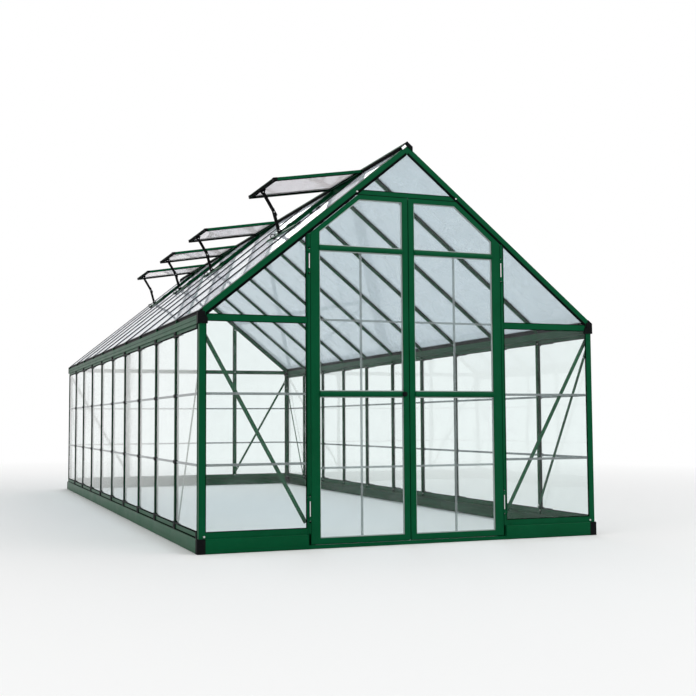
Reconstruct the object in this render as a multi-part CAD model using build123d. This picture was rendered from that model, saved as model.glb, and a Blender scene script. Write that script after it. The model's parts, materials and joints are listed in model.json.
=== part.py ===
from build123d import *
import math
import os

# Greenhouse, millimetres. X runs across the front, Y along the house with the
# front gable at -Y, Z up from the ground. The left half and the front are
# modelled and mirrored, and the origin is at the middle of the bottom.

# House
house_width = 2440.0
house_length = 6100.0
bay_count = 10
base_height = 78.0
frame_setback = 9.0
eave_top = 1281.0
roof_pitch = 39.3

# Panels and the slots that hold them
glass = 3.0
roof_glass = 4.0
slot_play = 0.3
roof_panel_inset = 8.0
skin = 2.0
web = 3.0
frame_depth = 22.0
slot_reach = 9.0

# Bars
stud_width = 26.0
roof_bar_depth = 26.0
corner_core = 22.0
corner_width = 36.0
rafter_width = 40.0
rafter_flange = 26.0
eave_bar_bottom = 1229.0
eave_bar_height = 34.0
collar_drop = 305.0
collar_height = 24.0
eave_bar_gap = 5.0
seam_height = 14.0
seam_skin = 1.2
seam_low = 462.0
seam_high = 840.0
foot_rail_height = 34.0
head_rail_height = 22.0
rear_post_width = 36.0

# Base skirt
skirt_thickness = 2.5
skirt_top_flange = 45.0
skirt_foot_flange = 25.0
skirt_lap = 8.0
corner_block_width = 45.0
corner_block_wall = 3.0
corner_block_bevel = 3.0

# Gutter beam
gutter_bottom = 1212.0
gutter_height = 46.0
gutter_wall = 3.0
gutter_width = 24.0
gutter_ledge = 16.0

# Eave corner moulding
moulding_plate = 6.0
moulding_width = 54.0
moulding_boot = 26.0

# Ridge
ridge_core_half = 12.0
ridge_wing_half = 30.0
ridge_rise = 18.0
ridge_wing_thickness = 4.0
ridge_core_depth = 48.0
ridge_cap_thickness = 6.0
ridge_cap_margin = 5.0

# Doors
post_outer = 614.0
post_width = 54.0
post_depth = 30.0
post_strip = 11.0
post_to_pin = 17.0
pin_to_leaf = 7.0
leaf_setback = 4.0
leaf_thickness = 24.0
stile_width = 52.5
meeting_gap = 5.0
meeting_width = 33.5
leaf_gap = 5.0
chamfer_gap = 6.0
chamfer_width = 25.0
leaf_bottom = 25.0
bottom_rail = 31.0
mid_rail_bottom = 825.0
mid_rail = 31.0
transom_drop = 93.0
transom = 29.0
top_rail = 25.0
leaf_wall = 2.5
sill_height = 20.0
sill_depth = 36.0
sill_groove = 5.0
sill_groove_inset = 4.0
pin_radius = 3.0
pin_play = 0.1
sleeve_wall = 2.4
sleeve_height = 12.0
lug_height = 12.0
low_hinge_rise = 191.0
high_hinge_drop = 156.0
pin_open = 82.0
sleeve_sides = 12
knob_radius = 15.0
knob_thickness = 14.0
knob_stem_radius = 6.0
knob_reach = 21.0
knob_bevel = 4.0
knob_sides = 20

# Braces
brace_width = 22.0
brace_thickness = 3.0
gable_brace_drop = 22.0
gable_brace_rise = 62.0
side_brace_drop = 92.0
side_brace_rise = 42.0
brace_inset = 14.0

# Roof vents
vent_bays = (2, 5, 7, 9)
vent_angle = 30.0
vent_length = 585.0
vent_side_gap = 10.0
vent_bar = 20.0
vent_thickness = 18.0
vent_hinge_run = 32.0
vent_hinge_lift = 11.0
vent_sill_run = 600.0
vent_sill_width = 24.0
vent_sill_lift = 8.0
stay_width = 14.0
stay_thickness = 5.0
stay_pivot_radius = 9.0
stay_pivot_sides = 12
stay_pivot_thickness = 8.0
stay_bracket_drop = 16.0
stay_knee_share = 0.56
stay_knee_offset = 18.0

# Worked-out places
half_width = house_width / 2
frame_half = half_width - frame_setback
front_y = -(house_length + knob_reach) / 2 + knob_reach
rear_y = front_y + house_length
mid_y = (front_y + rear_y) / 2
frame_front = front_y + frame_setback
frame_rear = rear_y - frame_setback
bay_length = (frame_rear - frame_front) / bay_count
pitch = math.radians(roof_pitch)
roof_apex = eave_top + frame_half * math.tan(pitch)
wall_slot = glass + 2 * slot_play
roof_slot = roof_glass + 2 * slot_play
grip_depth = 2 * skin + wall_slot
bar_grip = slot_reach - slot_play
seam_levels = (seam_low, seam_high)
collar_bottom = roof_apex - collar_drop
hinge_x = post_outer - post_to_pin
leaf_outer = hinge_x - pin_to_leaf
leaf_front = front_y + leaf_setback
leaf_top = collar_bottom - leaf_gap
chamfer_drop = rafter_width + chamfer_gap
leaf_shoulder = roof_apex - leaf_outer * math.tan(pitch) - chamfer_drop / math.cos(pitch)
transom_bottom = leaf_shoulder - transom_drop
hinge_levels = (leaf_bottom + low_hinge_rise, leaf_shoulder - high_hinge_drop)
knob_level = mid_rail_bottom + mid_rail / 2
pane_front = leaf_front + (leaf_thickness - glass) / 2
rear_post_x = post_outer - post_width / 2
past = house_width / 10

mid_plane = Plane(origin=(0, mid_y, 0), x_dir=(1, 0, 0), z_dir=(0, 1, 0))


def roof_z(x, drop=0.0):
    """Height of the plane that lies drop below the roof's top face, square to it."""
    return roof_apex - abs(x) * math.tan(pitch) - drop / math.cos(pitch)


def roof_point(run, lift, y):
    """Point on the left slope: run down from the apex line, lift out of the roof's top face."""
    x = -run * math.cos(pitch) - lift * math.sin(pitch)
    z = roof_apex - run * math.sin(pitch) + lift * math.cos(pitch)
    return Vector(x, y, z)


def bay_line(n):
    """Place along the house of the line between bay n and bay n + 1."""
    return frame_front + n * bay_length


def plates(*rectangles):
    """A section made of plates, each given by its two corners."""
    section = None
    for x0, y0, x1, y1 in rectangles:
        plate = Pos((x0 + x1) / 2, (y0 + y1) / 2) * Rectangle(abs(x1 - x0), abs(y1 - y0))
        section = plate if section is None else section + plate
    return section


def outline(*points):
    """A closed section from its corner points."""
    return make_face(Polyline(*points, close=True))


def bar(section, start, along, across, length):
    """A section run along a line, with its own x turned to across."""
    plane = Plane(origin=start, x_dir=across, z_dir=along)
    return extrude(plane * section, amount=length)


def block(low, high):
    """A box between two corners."""
    size = [abs(h - l) for l, h in zip(low, high)]
    middle = [(h + l) / 2 for l, h in zip(low, high)]
    return Pos(*middle) * Box(*size)


def gable_sheet(points, y, thickness):
    """A sheet in a gable: an outline in x and z, from y inwards."""
    plane = Plane(origin=(0, y, 0), x_dir=(1, 0, 0), z_dir=(0, -1, 0))
    return extrude(plane * outline(*points), amount=-thickness)


def wall_sheet(points, x, thickness):
    """A sheet in a side wall: an outline in y and z, from x towards +X."""
    plane = Plane(origin=(x, 0, 0), x_dir=(0, 1, 0), z_dir=(1, 0, 0))
    return extrude(plane * outline(*points), amount=thickness)


def to_right(parts):
    return [mirror(part, about=Plane.YZ) for part in parts]


def to_rear(parts):
    return [mirror(part, about=mid_plane) for part in parts]


def below_roof(part, drop):
    """What is left of a part under the plane that lies drop below the roof."""
    span = half_width + past
    cutter = gable_sheet(
        [(-span, roof_z(span, drop)), (0, roof_z(0, drop)), (span, roof_z(span, drop)),
         (span, roof_apex + span), (-span, roof_apex + span)],
        front_y - past, house_length + 2 * past)
    return part - cutter


def glazing_bar(width, depth, slot):
    """Bar with a slot on each side for a panel, a stem inwards and a bead along its edge."""
    inner = skin + slot
    return plates(
        (-width / 2, 0, width / 2, skin),
        (-web / 2, 0, web / 2, depth),
        (-width / 2, inner, width / 2, inner + skin),
        (-width / 4, depth - skin, width / 4, depth))


def end_cut(part, x_low, x_high):
    """A part between two places across the house."""
    return part & block((x_low, front_y - past, -past), (x_high, rear_y + past, roof_apex + past))


# Base
def base_sides():
    skirt = plates(
        (0, 0, skirt_thickness, base_height),
        (0, base_height - skirt_thickness, skirt_top_flange, base_height),
        (0, 0, skirt_foot_flange, skirt_thickness))
    length = house_length - 2 * corner_block_width
    start = (-half_width, rear_y - corner_block_width, 0)
    return [bar(skirt, start, (0, -1, 0), (1, 0, 0), length)]


def base_front():
    skirt = plates(
        (0, 0, skirt_thickness, base_height),
        (0, base_height - skirt_thickness, skirt_top_flange, base_height),
        (0, 0, skirt_foot_flange, skirt_thickness))
    outer = half_width - corner_block_width
    left = bar(skirt, (-outer, front_y, 0), (1, 0, 0), (0, 1, 0), outer - post_outer + skirt_lap)
    left = left - block((-post_outer, front_y + skirt_thickness, -past), (0, front_y + past, past))
    return [left] + to_right([left])


def base_rear():
    skirt = plates(
        (0, 0, skirt_thickness, base_height),
        (0, base_height - skirt_thickness, skirt_top_flange, base_height),
        (0, 0, skirt_foot_flange, skirt_thickness))
    outer = half_width - corner_block_width
    run = bar(skirt, (-outer, front_y, 0), (1, 0, 0), (0, 1, 0), 2 * outer)
    return to_rear([run])


def base_corners():
    shell = block(
        (-half_width, front_y, 0),
        (-half_width + corner_block_width, front_y + corner_block_width, base_height))
    inside = block(
        (-half_width + corner_block_wall, front_y + corner_block_wall, -past),
        (0, front_y + past, base_height - corner_block_wall))
    left = shell - inside
    outer_edge = left.edges().filter_by(Axis.Z).sort_by(lambda edge: edge.center().X + edge.center().Y)[0]
    left = chamfer(outer_edge, corner_block_bevel)
    pair = [left] + to_right([left])
    return pair + to_rear(pair)


# Walls
def corner_posts():
    inner = skin + wall_slot
    section = plates(
        (0, 0, corner_core, corner_core),
        (0, 0, skin, corner_width), (inner, 0, inner + skin, corner_width),
        (0, 0, corner_width, skin), (0, inner, corner_width, inner + skin))
    hole = plates((inner + skin, inner + skin, corner_core - skin, corner_core - skin))
    section = section - hole
    plane = Plane(origin=(-frame_half, frame_front, base_height), x_dir=(1, 0, 0), z_dir=(0, 0, 1))
    left = extrude(plane * section, amount=gutter_bottom - base_height)
    pair = [left] + to_right([left])
    return pair + to_rear(pair)


def studs_left():
    section = glazing_bar(stud_width, frame_depth, wall_slot)
    height = gutter_bottom - base_height
    return [bar(section, (-frame_half, bay_line(n), base_height), (0, 0, 1), (0, -1, 0), height)
            for n in range(1, bay_count)]


def eave_left():
    """Gutter beam: trough outside, wall that carries the roof bars, ledge over the studs."""
    x0 = -half_width
    floor = gutter_bottom + gutter_wall
    wall_out = half_width - gutter_width + gutter_wall
    wall_in = wall_out - gutter_wall
    section = outline(
        (x0, gutter_bottom), (x0, gutter_bottom + gutter_height),
        (x0 + gutter_wall, gutter_bottom + gutter_height), (x0 + gutter_wall, floor),
        (-wall_out, floor), (-wall_out, roof_z(wall_out, roof_bar_depth)),
        (-wall_in, roof_z(wall_in, roof_bar_depth)), (-wall_in, floor),
        (-wall_in + gutter_ledge, floor), (-wall_in + gutter_ledge, gutter_bottom))
    start = frame_front + rafter_flange
    plane = Plane(origin=(0, start, 0), x_dir=(1, 0, 0), z_dir=(0, -1, 0))
    return [extrude(plane * section, amount=-(frame_rear - frame_front - 2 * rafter_flange))]


def eave_corners():
    x0 = -half_width
    low = gutter_bottom
    boot_x = -half_width + moulding_boot
    toe_x = -half_width + moulding_width
    plate = gable_sheet(
        [(x0, low), (x0, roof_z(x0)), (boot_x, roof_z(boot_x)),
         (boot_x, roof_z(boot_x, rafter_width)), (toe_x, eave_bar_bottom + eave_bar_height / 2),
         (toe_x, low)],
        frame_front - moulding_plate, moulding_plate)
    back_low = frame_front + skin + wall_slot + skin
    side = block((x0, frame_front - moulding_plate, low),
                 (-frame_half, frame_front + rafter_flange, roof_z(x0, skin)))
    filling = block((x0, back_low, low),
                    (-frame_half + corner_width, frame_front + rafter_flange, eave_top))
    filling = below_roof(filling, rafter_width)
    left = plate + side + filling
    pair = [left] + to_right([left])
    return pair + to_rear(pair)


def seam_section():
    inner = skin + wall_slot
    return plates(
        (skin - seam_skin, -seam_height / 2, skin, seam_height / 2),
        (inner, -seam_height / 2, inner + seam_skin, seam_height / 2),
        (skin - seam_skin, -seam_skin / 2, inner + seam_skin, seam_skin / 2))


def wall_seams_left():
    parts = []
    section = seam_section()
    for n in range(bay_count):
        start = bay_line(n) + (corner_width if n == 0 else stud_width / 2)
        end = bay_line(n + 1) - (corner_width if n == bay_count - 1 else stud_width / 2)
        for level in seam_levels:
            origin = (-frame_half, end, level)
            parts.append(bar(section, origin, (0, -1, 0), (1, 0, 0), end - start))
    return parts


def rail_section(height):
    """Channel that grips a panel's level edge, its floor at zero and its slot along y."""
    inner = skin + wall_slot
    return plates((0, 0, height, skin), (0, inner, height, inner + skin), (0, 0, skin, inner + skin))


def panel_rail(start, along, across, length):
    """Foot channel on the base, run along a wall with its thickness to across."""
    x, y = start
    plane = Plane(origin=(x, y, base_height), x_dir=(0, 0, 1), z_dir=along)
    section = rail_section(foot_rail_height)
    if plane.y_dir.dot(Vector(*across)) < 0:
        section = mirror(section, about=Plane.XZ)
    return extrude(plane * section, amount=length)


def wall_rails_left():
    """Foot channel under each bay's panels and head channel under the gutter."""
    parts = []
    for n in range(bay_count):
        start = bay_line(n) + (corner_width if n == 0 else stud_width / 2)
        end = bay_line(n + 1) - (corner_width if n == bay_count - 1 else stud_width / 2)
        parts.append(panel_rail((-frame_half, start), (0, 1, 0), (1, 0, 0), end - start))
        head = Plane(origin=(-frame_half, start, gutter_bottom), x_dir=(0, 0, -1), z_dir=(0, 1, 0))
        section = rail_section(head_rail_height)
        if head.y_dir.X < 0:
            section = mirror(section, about=Plane.XZ)
        parts.append(extrude(head * section, amount=end - start))
    return parts


def gable_rails():
    start = -frame_half + corner_width
    outer = rear_post_x + rear_post_width / 2
    inner = rear_post_x - rear_post_width / 2
    front = panel_rail((start, frame_front), (1, 0, 0), (0, 1, 0), -post_outer - start)
    side = panel_rail((start, frame_front), (1, 0, 0), (0, 1, 0), -outer - start)
    middle = panel_rail((-inner, frame_front), (1, 0, 0), (0, 1, 0), 2 * inner)
    return [front] + to_right([front]) + to_rear([side] + to_right([side]) + [middle])


def panel_rows():
    """The height range of each row of panels between the foot channel and the eaves."""
    gap = seam_skin / 2 + slot_play
    edges = [base_height + skin + slot_play]
    for level in seam_levels:
        edges += [level - gap, level + gap]
    edges.append(gutter_bottom - skin - slot_play)
    return list(zip(edges[0::2], edges[1::2]))


def wall_glazing_left():
    parts = []
    x = -frame_half + skin + slot_play
    for n in range(bay_count):
        start = bay_line(n) + (corner_core if n == 0 else web / 2) + slot_play
        end = bay_line(n + 1) - (corner_core if n == bay_count - 1 else web / 2) - slot_play
        for low, high in panel_rows():
            parts.append(block((x, start, low), (x + glass, end, high)))
    return parts


# Gables
def gable_rafters():
    """Edge bar of the roof: a face plate, a top flange, a slot for the roof and one for the gable."""
    inner = skin + wall_slot
    roof_inner = skin + roof_slot
    tail = rafter_width - slot_reach
    section = plates(
        (0, 0, rafter_width, skin),
        (0, 0, skin, rafter_flange),
        (0, inner, tail, inner + skin),
        (roof_inner, inner, roof_inner + skin, rafter_flange),
        (tail - skin, 0, tail, inner + skin),
        (tail - skin, inner, rafter_width, inner + skin))
    length = frame_half / math.cos(pitch) + 2 * past
    plane = Plane(origin=roof_point(length - past, 0, frame_front),
                  x_dir=(math.sin(pitch), 0, -math.cos(pitch)), z_dir=(math.cos(pitch), 0, math.sin(pitch)))
    left = extrude(plane * section, amount=length)
    left = end_cut(left, -frame_half, 0)
    return [left] + to_right([left])


def sleeve_bar(radius, height):
    """Upright bar with flat sides, centred on the origin."""
    return extrude(RegularPolygon(radius, sleeve_sides), amount=height / 2, both=True)


def front_posts():
    """Door posts: a strip beside the hinges, a channel for the side panel and lugs for the pins."""
    inner = skin + wall_slot
    section = plates(
        (0, 0, post_strip, skin),
        (slot_reach, 0, post_strip, post_depth),
        (0, inner, post_strip, inner + skin),
        (slot_reach, post_depth - skin, post_width, post_depth))
    plane = Plane(origin=(-post_outer, frame_front, 0), x_dir=(1, 0, 0), z_dir=(0, 0, 1))
    left = below_roof(extrude(plane * section, amount=roof_apex), rafter_width)
    pin_y = leaf_front
    lug_half = pin_radius + sleeve_wall
    for level in hinge_levels:
        for side in (-1, 1):
            z = level + side * (pin_open / 2 + sleeve_height + lug_height / 2 + slot_play)
            arm = block((-post_outer + skin, pin_y - lug_half, z - lug_height / 2),
                        (-hinge_x, frame_front, z + lug_height / 2))
            eye = Pos(-hinge_x, pin_y, z) * sleeve_bar(lug_half, lug_height)
            hole = Pos(-hinge_x, pin_y, z) * Cylinder(pin_radius, lug_height)
            left = left + arm + eye - hole
    return [left] + to_right([left])


def hinge_pins():
    length = pin_open + 2 * (sleeve_height + lug_height + slot_play)
    pins = [Pos(-hinge_x, leaf_front, level) * Cylinder(pin_radius, length) for level in hinge_levels]
    return pins + to_right(pins)


def rear_posts():
    section = glazing_bar(rear_post_width, frame_depth, wall_slot)
    plane = Plane(origin=(-rear_post_x, frame_front, base_height), x_dir=(1, 0, 0), z_dir=(0, 0, 1))
    left = extrude(plane * section, amount=roof_apex)
    left = below_roof(left, rafter_width)
    return to_rear([left] + to_right([left]))


def cross_bar(bottom, height, x_low, x_high):
    """Level gable bar between two places, cut to fit under the rafters."""
    section = glazing_bar(height, frame_depth, wall_slot)
    level = bottom + height / 2
    plane = Plane(origin=(x_high, frame_front, level), x_dir=(0, 0, 1), z_dir=(-1, 0, 0))
    part = extrude(plane * section, amount=x_high - x_low)
    return below_roof(part, rafter_width)


def front_bars():
    left = cross_bar(eave_bar_bottom, eave_bar_height, -frame_half + corner_width + eave_bar_gap, -post_outer)
    return [left] + to_right([left])


def collar_bar():
    span = (roof_z(0, rafter_width) - collar_bottom) / math.tan(pitch)
    return [cross_bar(collar_bottom, collar_height, -span, span)]


def rear_bars():
    outer = rear_post_x + rear_post_width / 2
    inner = rear_post_x - rear_post_width / 2
    side = cross_bar(eave_bar_bottom, eave_bar_height, -frame_half + corner_width + eave_bar_gap, -outer)
    middle = cross_bar(eave_bar_bottom, eave_bar_height, -inner, inner)
    return to_rear([side] + to_right([side]) + [middle] + collar_bar())


def gable_seam(level, low, high):
    plane = Plane(origin=(low, frame_front, level), x_dir=(0, 1, 0), z_dir=(1, 0, 0))
    return extrude(plane * seam_section(), amount=high - low)


def gable_seams():
    start = -frame_half + corner_width
    outer = rear_post_x + rear_post_width / 2
    inner = rear_post_x - rear_post_width / 2
    parts = []
    for level in seam_levels:
        front = gable_seam(level, start, -post_outer)
        side = gable_seam(level, start, -outer)
        middle = gable_seam(level, -inner, inner)
        parts += [front] + to_right([front]) + to_rear([side] + to_right([side]) + [middle])
    return parts


def door_sill():
    inner = post_outer - post_width
    back = leaf_front + sill_depth
    post = block((-post_outer, frame_front, -past), (-inner, frame_front + past, past))
    body = block((-post_outer, leaf_front, 0), (post_outer, back, sill_height))
    body = body - post - mirror(post, about=Plane.YZ)
    groove = block((-inner, back - sill_groove_inset - sill_groove, sill_height - sill_groove),
                   (inner, back - sill_groove_inset, sill_height + past))
    return [body - groove]


def pane(*points):
    """A pane in a gable's slots, given by its corners in x and z."""
    return gable_sheet(points, frame_front + skin + slot_play, glass)


def low_panes(low_x, high_x):
    """Rows of panes under the eave bar."""
    rows = panel_rows()
    rows[-1] = (rows[-1][0], eave_bar_bottom + eave_bar_height / 2 - web / 2 - slot_play)
    return [pane((low_x, low), (high_x, low), (high_x, high), (low_x, high)) for low, high in rows]


def roof_pane(low, inner):
    """Pane that ends in a point under the left rafter."""
    drop = rafter_width - slot_reach + slot_play
    tip = (roof_z(0, drop) - low) / math.tan(pitch)
    return pane((-tip, low), (-inner, low), (-inner, roof_z(inner, drop)))


def collar_pane():
    low = collar_bottom + collar_height / 2 + web / 2 + slot_play
    drop = rafter_width - slot_reach + slot_play
    tip = (roof_z(0, drop) - low) / math.tan(pitch)
    return pane((-tip, low), (tip, low), (0, roof_z(0, drop)))


def side_panes(inner):
    """Panes of the left side column, from the corner post to a post whose slot ends at inner."""
    low = eave_bar_bottom + eave_bar_height / 2 + web / 2 + slot_play
    side = low_panes(-frame_half + corner_core + slot_play, -inner) + [roof_pane(low, inner)]
    return side + to_right(side)


def front_glazing():
    return side_panes(post_outer - slot_reach + slot_play) + [collar_pane()]


def rear_glazing():
    edge = rear_post_x - web / 2 - slot_play
    low = eave_bar_bottom + eave_bar_height / 2 + web / 2 + slot_play
    high = collar_bottom + collar_height / 2 - web / 2 - slot_play
    drop = rafter_width - slot_reach + slot_play
    shoulder = (roof_z(0, drop) - high) / math.tan(pitch)
    middle = pane((-edge, low), (edge, low), (edge, roof_z(edge, drop)),
                  (shoulder, high), (-shoulder, high), (-edge, roof_z(edge, drop)))
    sides = side_panes(rear_post_x + web / 2 + slot_play)
    return to_rear(sides + low_panes(-edge, edge) + [middle, collar_pane()])


# Roof
def ridge_beam():
    wing_low = roof_z(ridge_wing_half) + ridge_rise
    top = roof_z(0) + ridge_rise
    t = ridge_wing_thickness
    wings = gable_sheet(
        [(0, top), (ridge_wing_half, wing_low), (ridge_wing_half, wing_low - t),
         (0, top - t), (-ridge_wing_half, wing_low - t), (-ridge_wing_half, wing_low)],
        frame_front, frame_rear - frame_front)
    core = block(
        (-ridge_core_half, frame_front + rafter_flange, roof_apex - ridge_core_depth),
        (ridge_core_half, frame_rear - rafter_flange, roof_apex))
    neck = block((-web, frame_front + rafter_flange, roof_apex - web),
                 (web, frame_rear - rafter_flange, top - t / 2))
    hollow = block(
        (-ridge_core_half + web, frame_front, roof_apex - ridge_core_depth + web),
        (ridge_core_half - web, frame_rear, roof_apex - web))
    return [wings + (core - hollow) + neck]


def ridge_caps():
    half = ridge_wing_half + ridge_cap_margin
    top = roof_z(0) + ridge_rise + ridge_cap_margin
    plate = gable_sheet(
        [(0, top), (half, top - half * math.tan(pitch)), (half, roof_z(half, skin)),
         (0, roof_z(0, skin)), (-half, roof_z(half, skin)), (-half, top - half * math.tan(pitch))],
        frame_front - ridge_cap_thickness, ridge_cap_thickness)
    return [plate] + to_rear([plate])


def rafters_left():
    parts = []
    section = glazing_bar(stud_width, roof_bar_depth, roof_slot)
    length = frame_half / math.cos(pitch) + 2 * past
    for n in range(1, bay_count):
        plane = Plane(origin=roof_point(-past, 0, bay_line(n)), x_dir=(0, 1, 0),
                      z_dir=(-math.cos(pitch), 0, -math.sin(pitch)))
        run = extrude(plane * section, amount=length)
        parts.append(end_cut(run, -frame_half, -ridge_core_half))
    return parts


def slope_block(run_low, run_high, lift_low, lift_high, y_low, y_high):
    """A block square to the left slope."""
    plane = Plane(origin=roof_point(run_low, lift_low, y_low), x_dir=(-math.cos(pitch), 0, -math.sin(pitch)),
                  z_dir=(0, 1, 0))
    face = plates((0, 0, run_high - run_low, lift_high - lift_low))
    return extrude(plane * face, amount=y_high - y_low)


def roof_panel(n, run_low, run_high):
    first = n == 1
    last = n == bay_count
    y_low = bay_line(n - 1) + (skin + wall_slot + skin if first else web / 2) + slot_play
    y_high = bay_line(n) - (skin + wall_slot + skin if last else web / 2) - slot_play
    top = -skin - slot_play
    return slope_block(run_low, run_high, top - roof_glass, top, y_low, y_high)


def roof_panel_start():
    return ridge_core_half / math.cos(pitch) + roof_panel_inset


def roof_panel_end():
    return frame_half / math.cos(pitch) - roof_panel_inset


def roof_glazing_left():
    under_vent = vent_sill_run + vent_sill_width - slot_reach + slot_play
    return [roof_panel(n, under_vent if n in vent_bays else roof_panel_start(), roof_panel_end())
            for n in range(1, bay_count + 1)]


def roof_glazing_right():
    return to_right([roof_panel(n, roof_panel_start(), roof_panel_end()) for n in range(1, bay_count + 1)])


# Braces
def strip(point_a, point_b, width):
    """Corner points of a flat strip between two points in a plane."""
    ax, az = point_a
    bx, bz = point_b
    length = math.hypot(bx - ax, bz - az)
    nx = -(bz - az) / length * width / 2
    nz = (bx - ax) / length * width / 2
    return [(ax + nx, az + nz), (bx + nx, bz + nz), (bx - nx, bz - nz), (ax - nx, az - nz)]


def braces_gables():
    head = (-frame_half + brace_inset, gutter_bottom - gable_brace_drop)
    foot = base_height + gable_brace_rise
    front = gable_sheet(strip(head, (-post_outer, foot), brace_width),
                        frame_front + frame_depth, brace_thickness)
    front = end_cut(front, -frame_half + grip_depth, -post_outer + slot_reach)
    rear = gable_sheet(strip(head, (-rear_post_x, foot), brace_width),
                       frame_front + frame_depth, brace_thickness)
    rear = end_cut(rear, -frame_half + grip_depth, 0)
    return [front] + to_right([front]) + to_rear([rear] + to_right([rear]))


def braces_sides():
    head = (frame_front + brace_inset, gutter_bottom - side_brace_drop)
    foot = (bay_line(1), base_height + side_brace_rise)
    left = wall_sheet(strip(head, foot, brace_width), -frame_half + frame_depth, brace_thickness)
    left = left & block((-half_width, frame_front + grip_depth, 0), (0, mid_y, gutter_bottom))
    pair = [left] + to_right([left])
    return pair + to_rear(pair)


# Vents
def vent_plane(n):
    """Plane of an open vent: origin on its hinge line, x down the leaf, y out of it, at its near side."""
    angle = pitch - math.radians(vent_angle)
    origin = roof_point(vent_hinge_run, vent_hinge_lift, bay_line(n - 1) + stud_width / 2 + vent_side_gap)
    return Plane(origin=origin, x_dir=(-math.cos(angle), 0, -math.sin(angle)), z_dir=(0, 1, 0))


def vent_rects(n, run_low, run_high, lift_low, lift_high, y_low, y_high):
    face = plates((run_low, lift_low, run_high, lift_high))
    return Pos(0, y_low, 0) * extrude(vent_plane(n) * face, amount=y_high - y_low)


def vent_width():
    return bay_length - stud_width - 2 * vent_side_gap


def vent_frame(n):
    half = vent_thickness / 2
    width = vent_width()
    outer = vent_rects(n, 0, vent_length, -half, half, 0, width)
    inner = vent_rects(n, vent_bar, vent_length - vent_bar, -past, past, vent_bar, width - vent_bar)
    groove = vent_rects(n, vent_bar - bar_grip, vent_length - vent_bar + bar_grip,
                        -wall_slot / 2, wall_slot / 2, vent_bar - bar_grip, width - vent_bar + bar_grip)
    return outer - inner - groove


def vent_frames():
    return [vent_frame(n) for n in vent_bays]


def vent_panes():
    grip = bar_grip - slot_play
    width = vent_width()
    return [vent_rects(n, vent_bar - grip, vent_length - vent_bar + grip,
                       -glass / 2, glass / 2, vent_bar - grip, width - vent_bar + grip)
            for n in vent_bays]


def vent_sills():
    parts = []
    inner = -skin - roof_slot
    for n in vent_bays:
        y_low = bay_line(n - 1) + stud_width / 2
        y_high = bay_line(n) - stud_width / 2
        body = slope_block(vent_sill_run, vent_sill_run + vent_sill_width, inner - skin, vent_sill_lift,
                           y_low, y_high)
        slot_start = vent_sill_run + vent_sill_width - slot_reach
        slot = slope_block(slot_start, slot_start + past, inner, -skin, y_low - past, y_high + past)
        parts.append(body - slot)
    return parts


def slope_bar(point_a, point_b, width, y_low, y_high):
    """Flat arm between two points given as run and lift on the left slope."""
    plane = Plane(origin=roof_point(0, 0, y_low), x_dir=(-math.cos(pitch), 0, -math.sin(pitch)),
                  z_dir=(0, 1, 0))
    return extrude(plane * outline(*strip(point_a, point_b, width)), amount=y_high - y_low)


def slope_disc(point, radius, y_low, y_high):
    plane = Plane(origin=roof_point(point[0], point[1], y_low), x_dir=(1, 0, 0), z_dir=(0, 1, 0))
    return extrude(plane * RegularPolygon(radius, stay_pivot_sides), amount=y_high - y_low)


def vent_stay(n):
    """Two-part arm from a bracket under the vent's lower bar to the sill bar."""
    angle = math.radians(vent_angle)
    run = vent_length - vent_bar / 2
    under = vent_thickness / 2
    rail = (vent_hinge_run + run * math.cos(angle) + under * math.sin(angle),
            vent_hinge_lift + run * math.sin(angle) - under * math.cos(angle))
    top = (rail[0] + stay_bracket_drop * math.sin(angle), rail[1] - stay_bracket_drop * math.cos(angle))
    foot = (vent_sill_run + vent_sill_width / 2, vent_sill_lift)
    low = (foot[0], foot[1] + stay_bracket_drop)
    knee_x = top[0] + (low[0] - top[0]) * stay_knee_share - stay_knee_offset
    knee_z = top[1] + (low[1] - top[1]) * stay_knee_share
    knee = (knee_x, knee_z)
    middle = (bay_line(n - 1) + bay_line(n)) / 2
    half = stay_thickness / 2
    arm = slope_bar(top, knee, stay_width, middle - half, middle + half)
    arm = arm + slope_bar(knee, low, stay_width, middle - half, middle + half)
    for place in (top, knee, low):
        arm = arm + slope_disc(place, stay_pivot_radius, middle - stay_pivot_thickness / 2,
                               middle + stay_pivot_thickness / 2)
    arm = arm + slope_bar(top, rail, stay_width, middle - half, middle + half)
    arm = arm + slope_bar(low, foot, stay_width, middle - half, middle + half)
    return arm


def vent_stays():
    return [vent_stay(n) for n in vent_bays]


# Doors
def leaf_silhouette(inset):
    """Outline of the left leaf, moved in by inset from its edges."""
    low = leaf_bottom + inset
    high = leaf_top - inset
    outer = leaf_outer - inset
    inner = meeting_gap / 2 + inset
    drop = chamfer_drop + inset
    shoulder = (roof_z(0, drop) - high) / math.tan(pitch)
    return [(-outer, low), (-inner, low), (-inner, high), (-shoulder, high), (-outer, roof_z(outer, drop))]


def leaf_hole(z_low, z_high, grow=0.0):
    """Outline of one pane opening of the left leaf, with the chamfer where it reaches it."""
    left = leaf_outer - stile_width + grow
    right = meeting_gap / 2 + meeting_width - grow
    low = z_low - grow
    high = z_high + grow
    drop = chamfer_drop + chamfer_width - grow
    shoulder = (roof_z(0, drop) - high) / math.tan(pitch)
    if shoulder >= left:
        return [(-left, low), (-right, low), (-right, high), (-left, high)]
    return [(-left, low), (-right, low), (-right, high), (-shoulder, high), (-left, roof_z(left, drop))]


def pane_ranges():
    return [(leaf_bottom + bottom_rail, mid_rail_bottom),
            (mid_rail_bottom + mid_rail, transom_bottom),
            (transom_bottom + transom, leaf_top - top_rail)]


def left_door_body():
    body = gable_sheet(leaf_silhouette(0), leaf_front, leaf_thickness)
    for low, high in pane_ranges():
        body = body - gable_sheet(leaf_hole(low, high), leaf_front - past, leaf_thickness + 2 * past)
        body = body - gable_sheet(leaf_hole(low, high, bar_grip), pane_front - slot_play, wall_slot)
    return body


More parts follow.
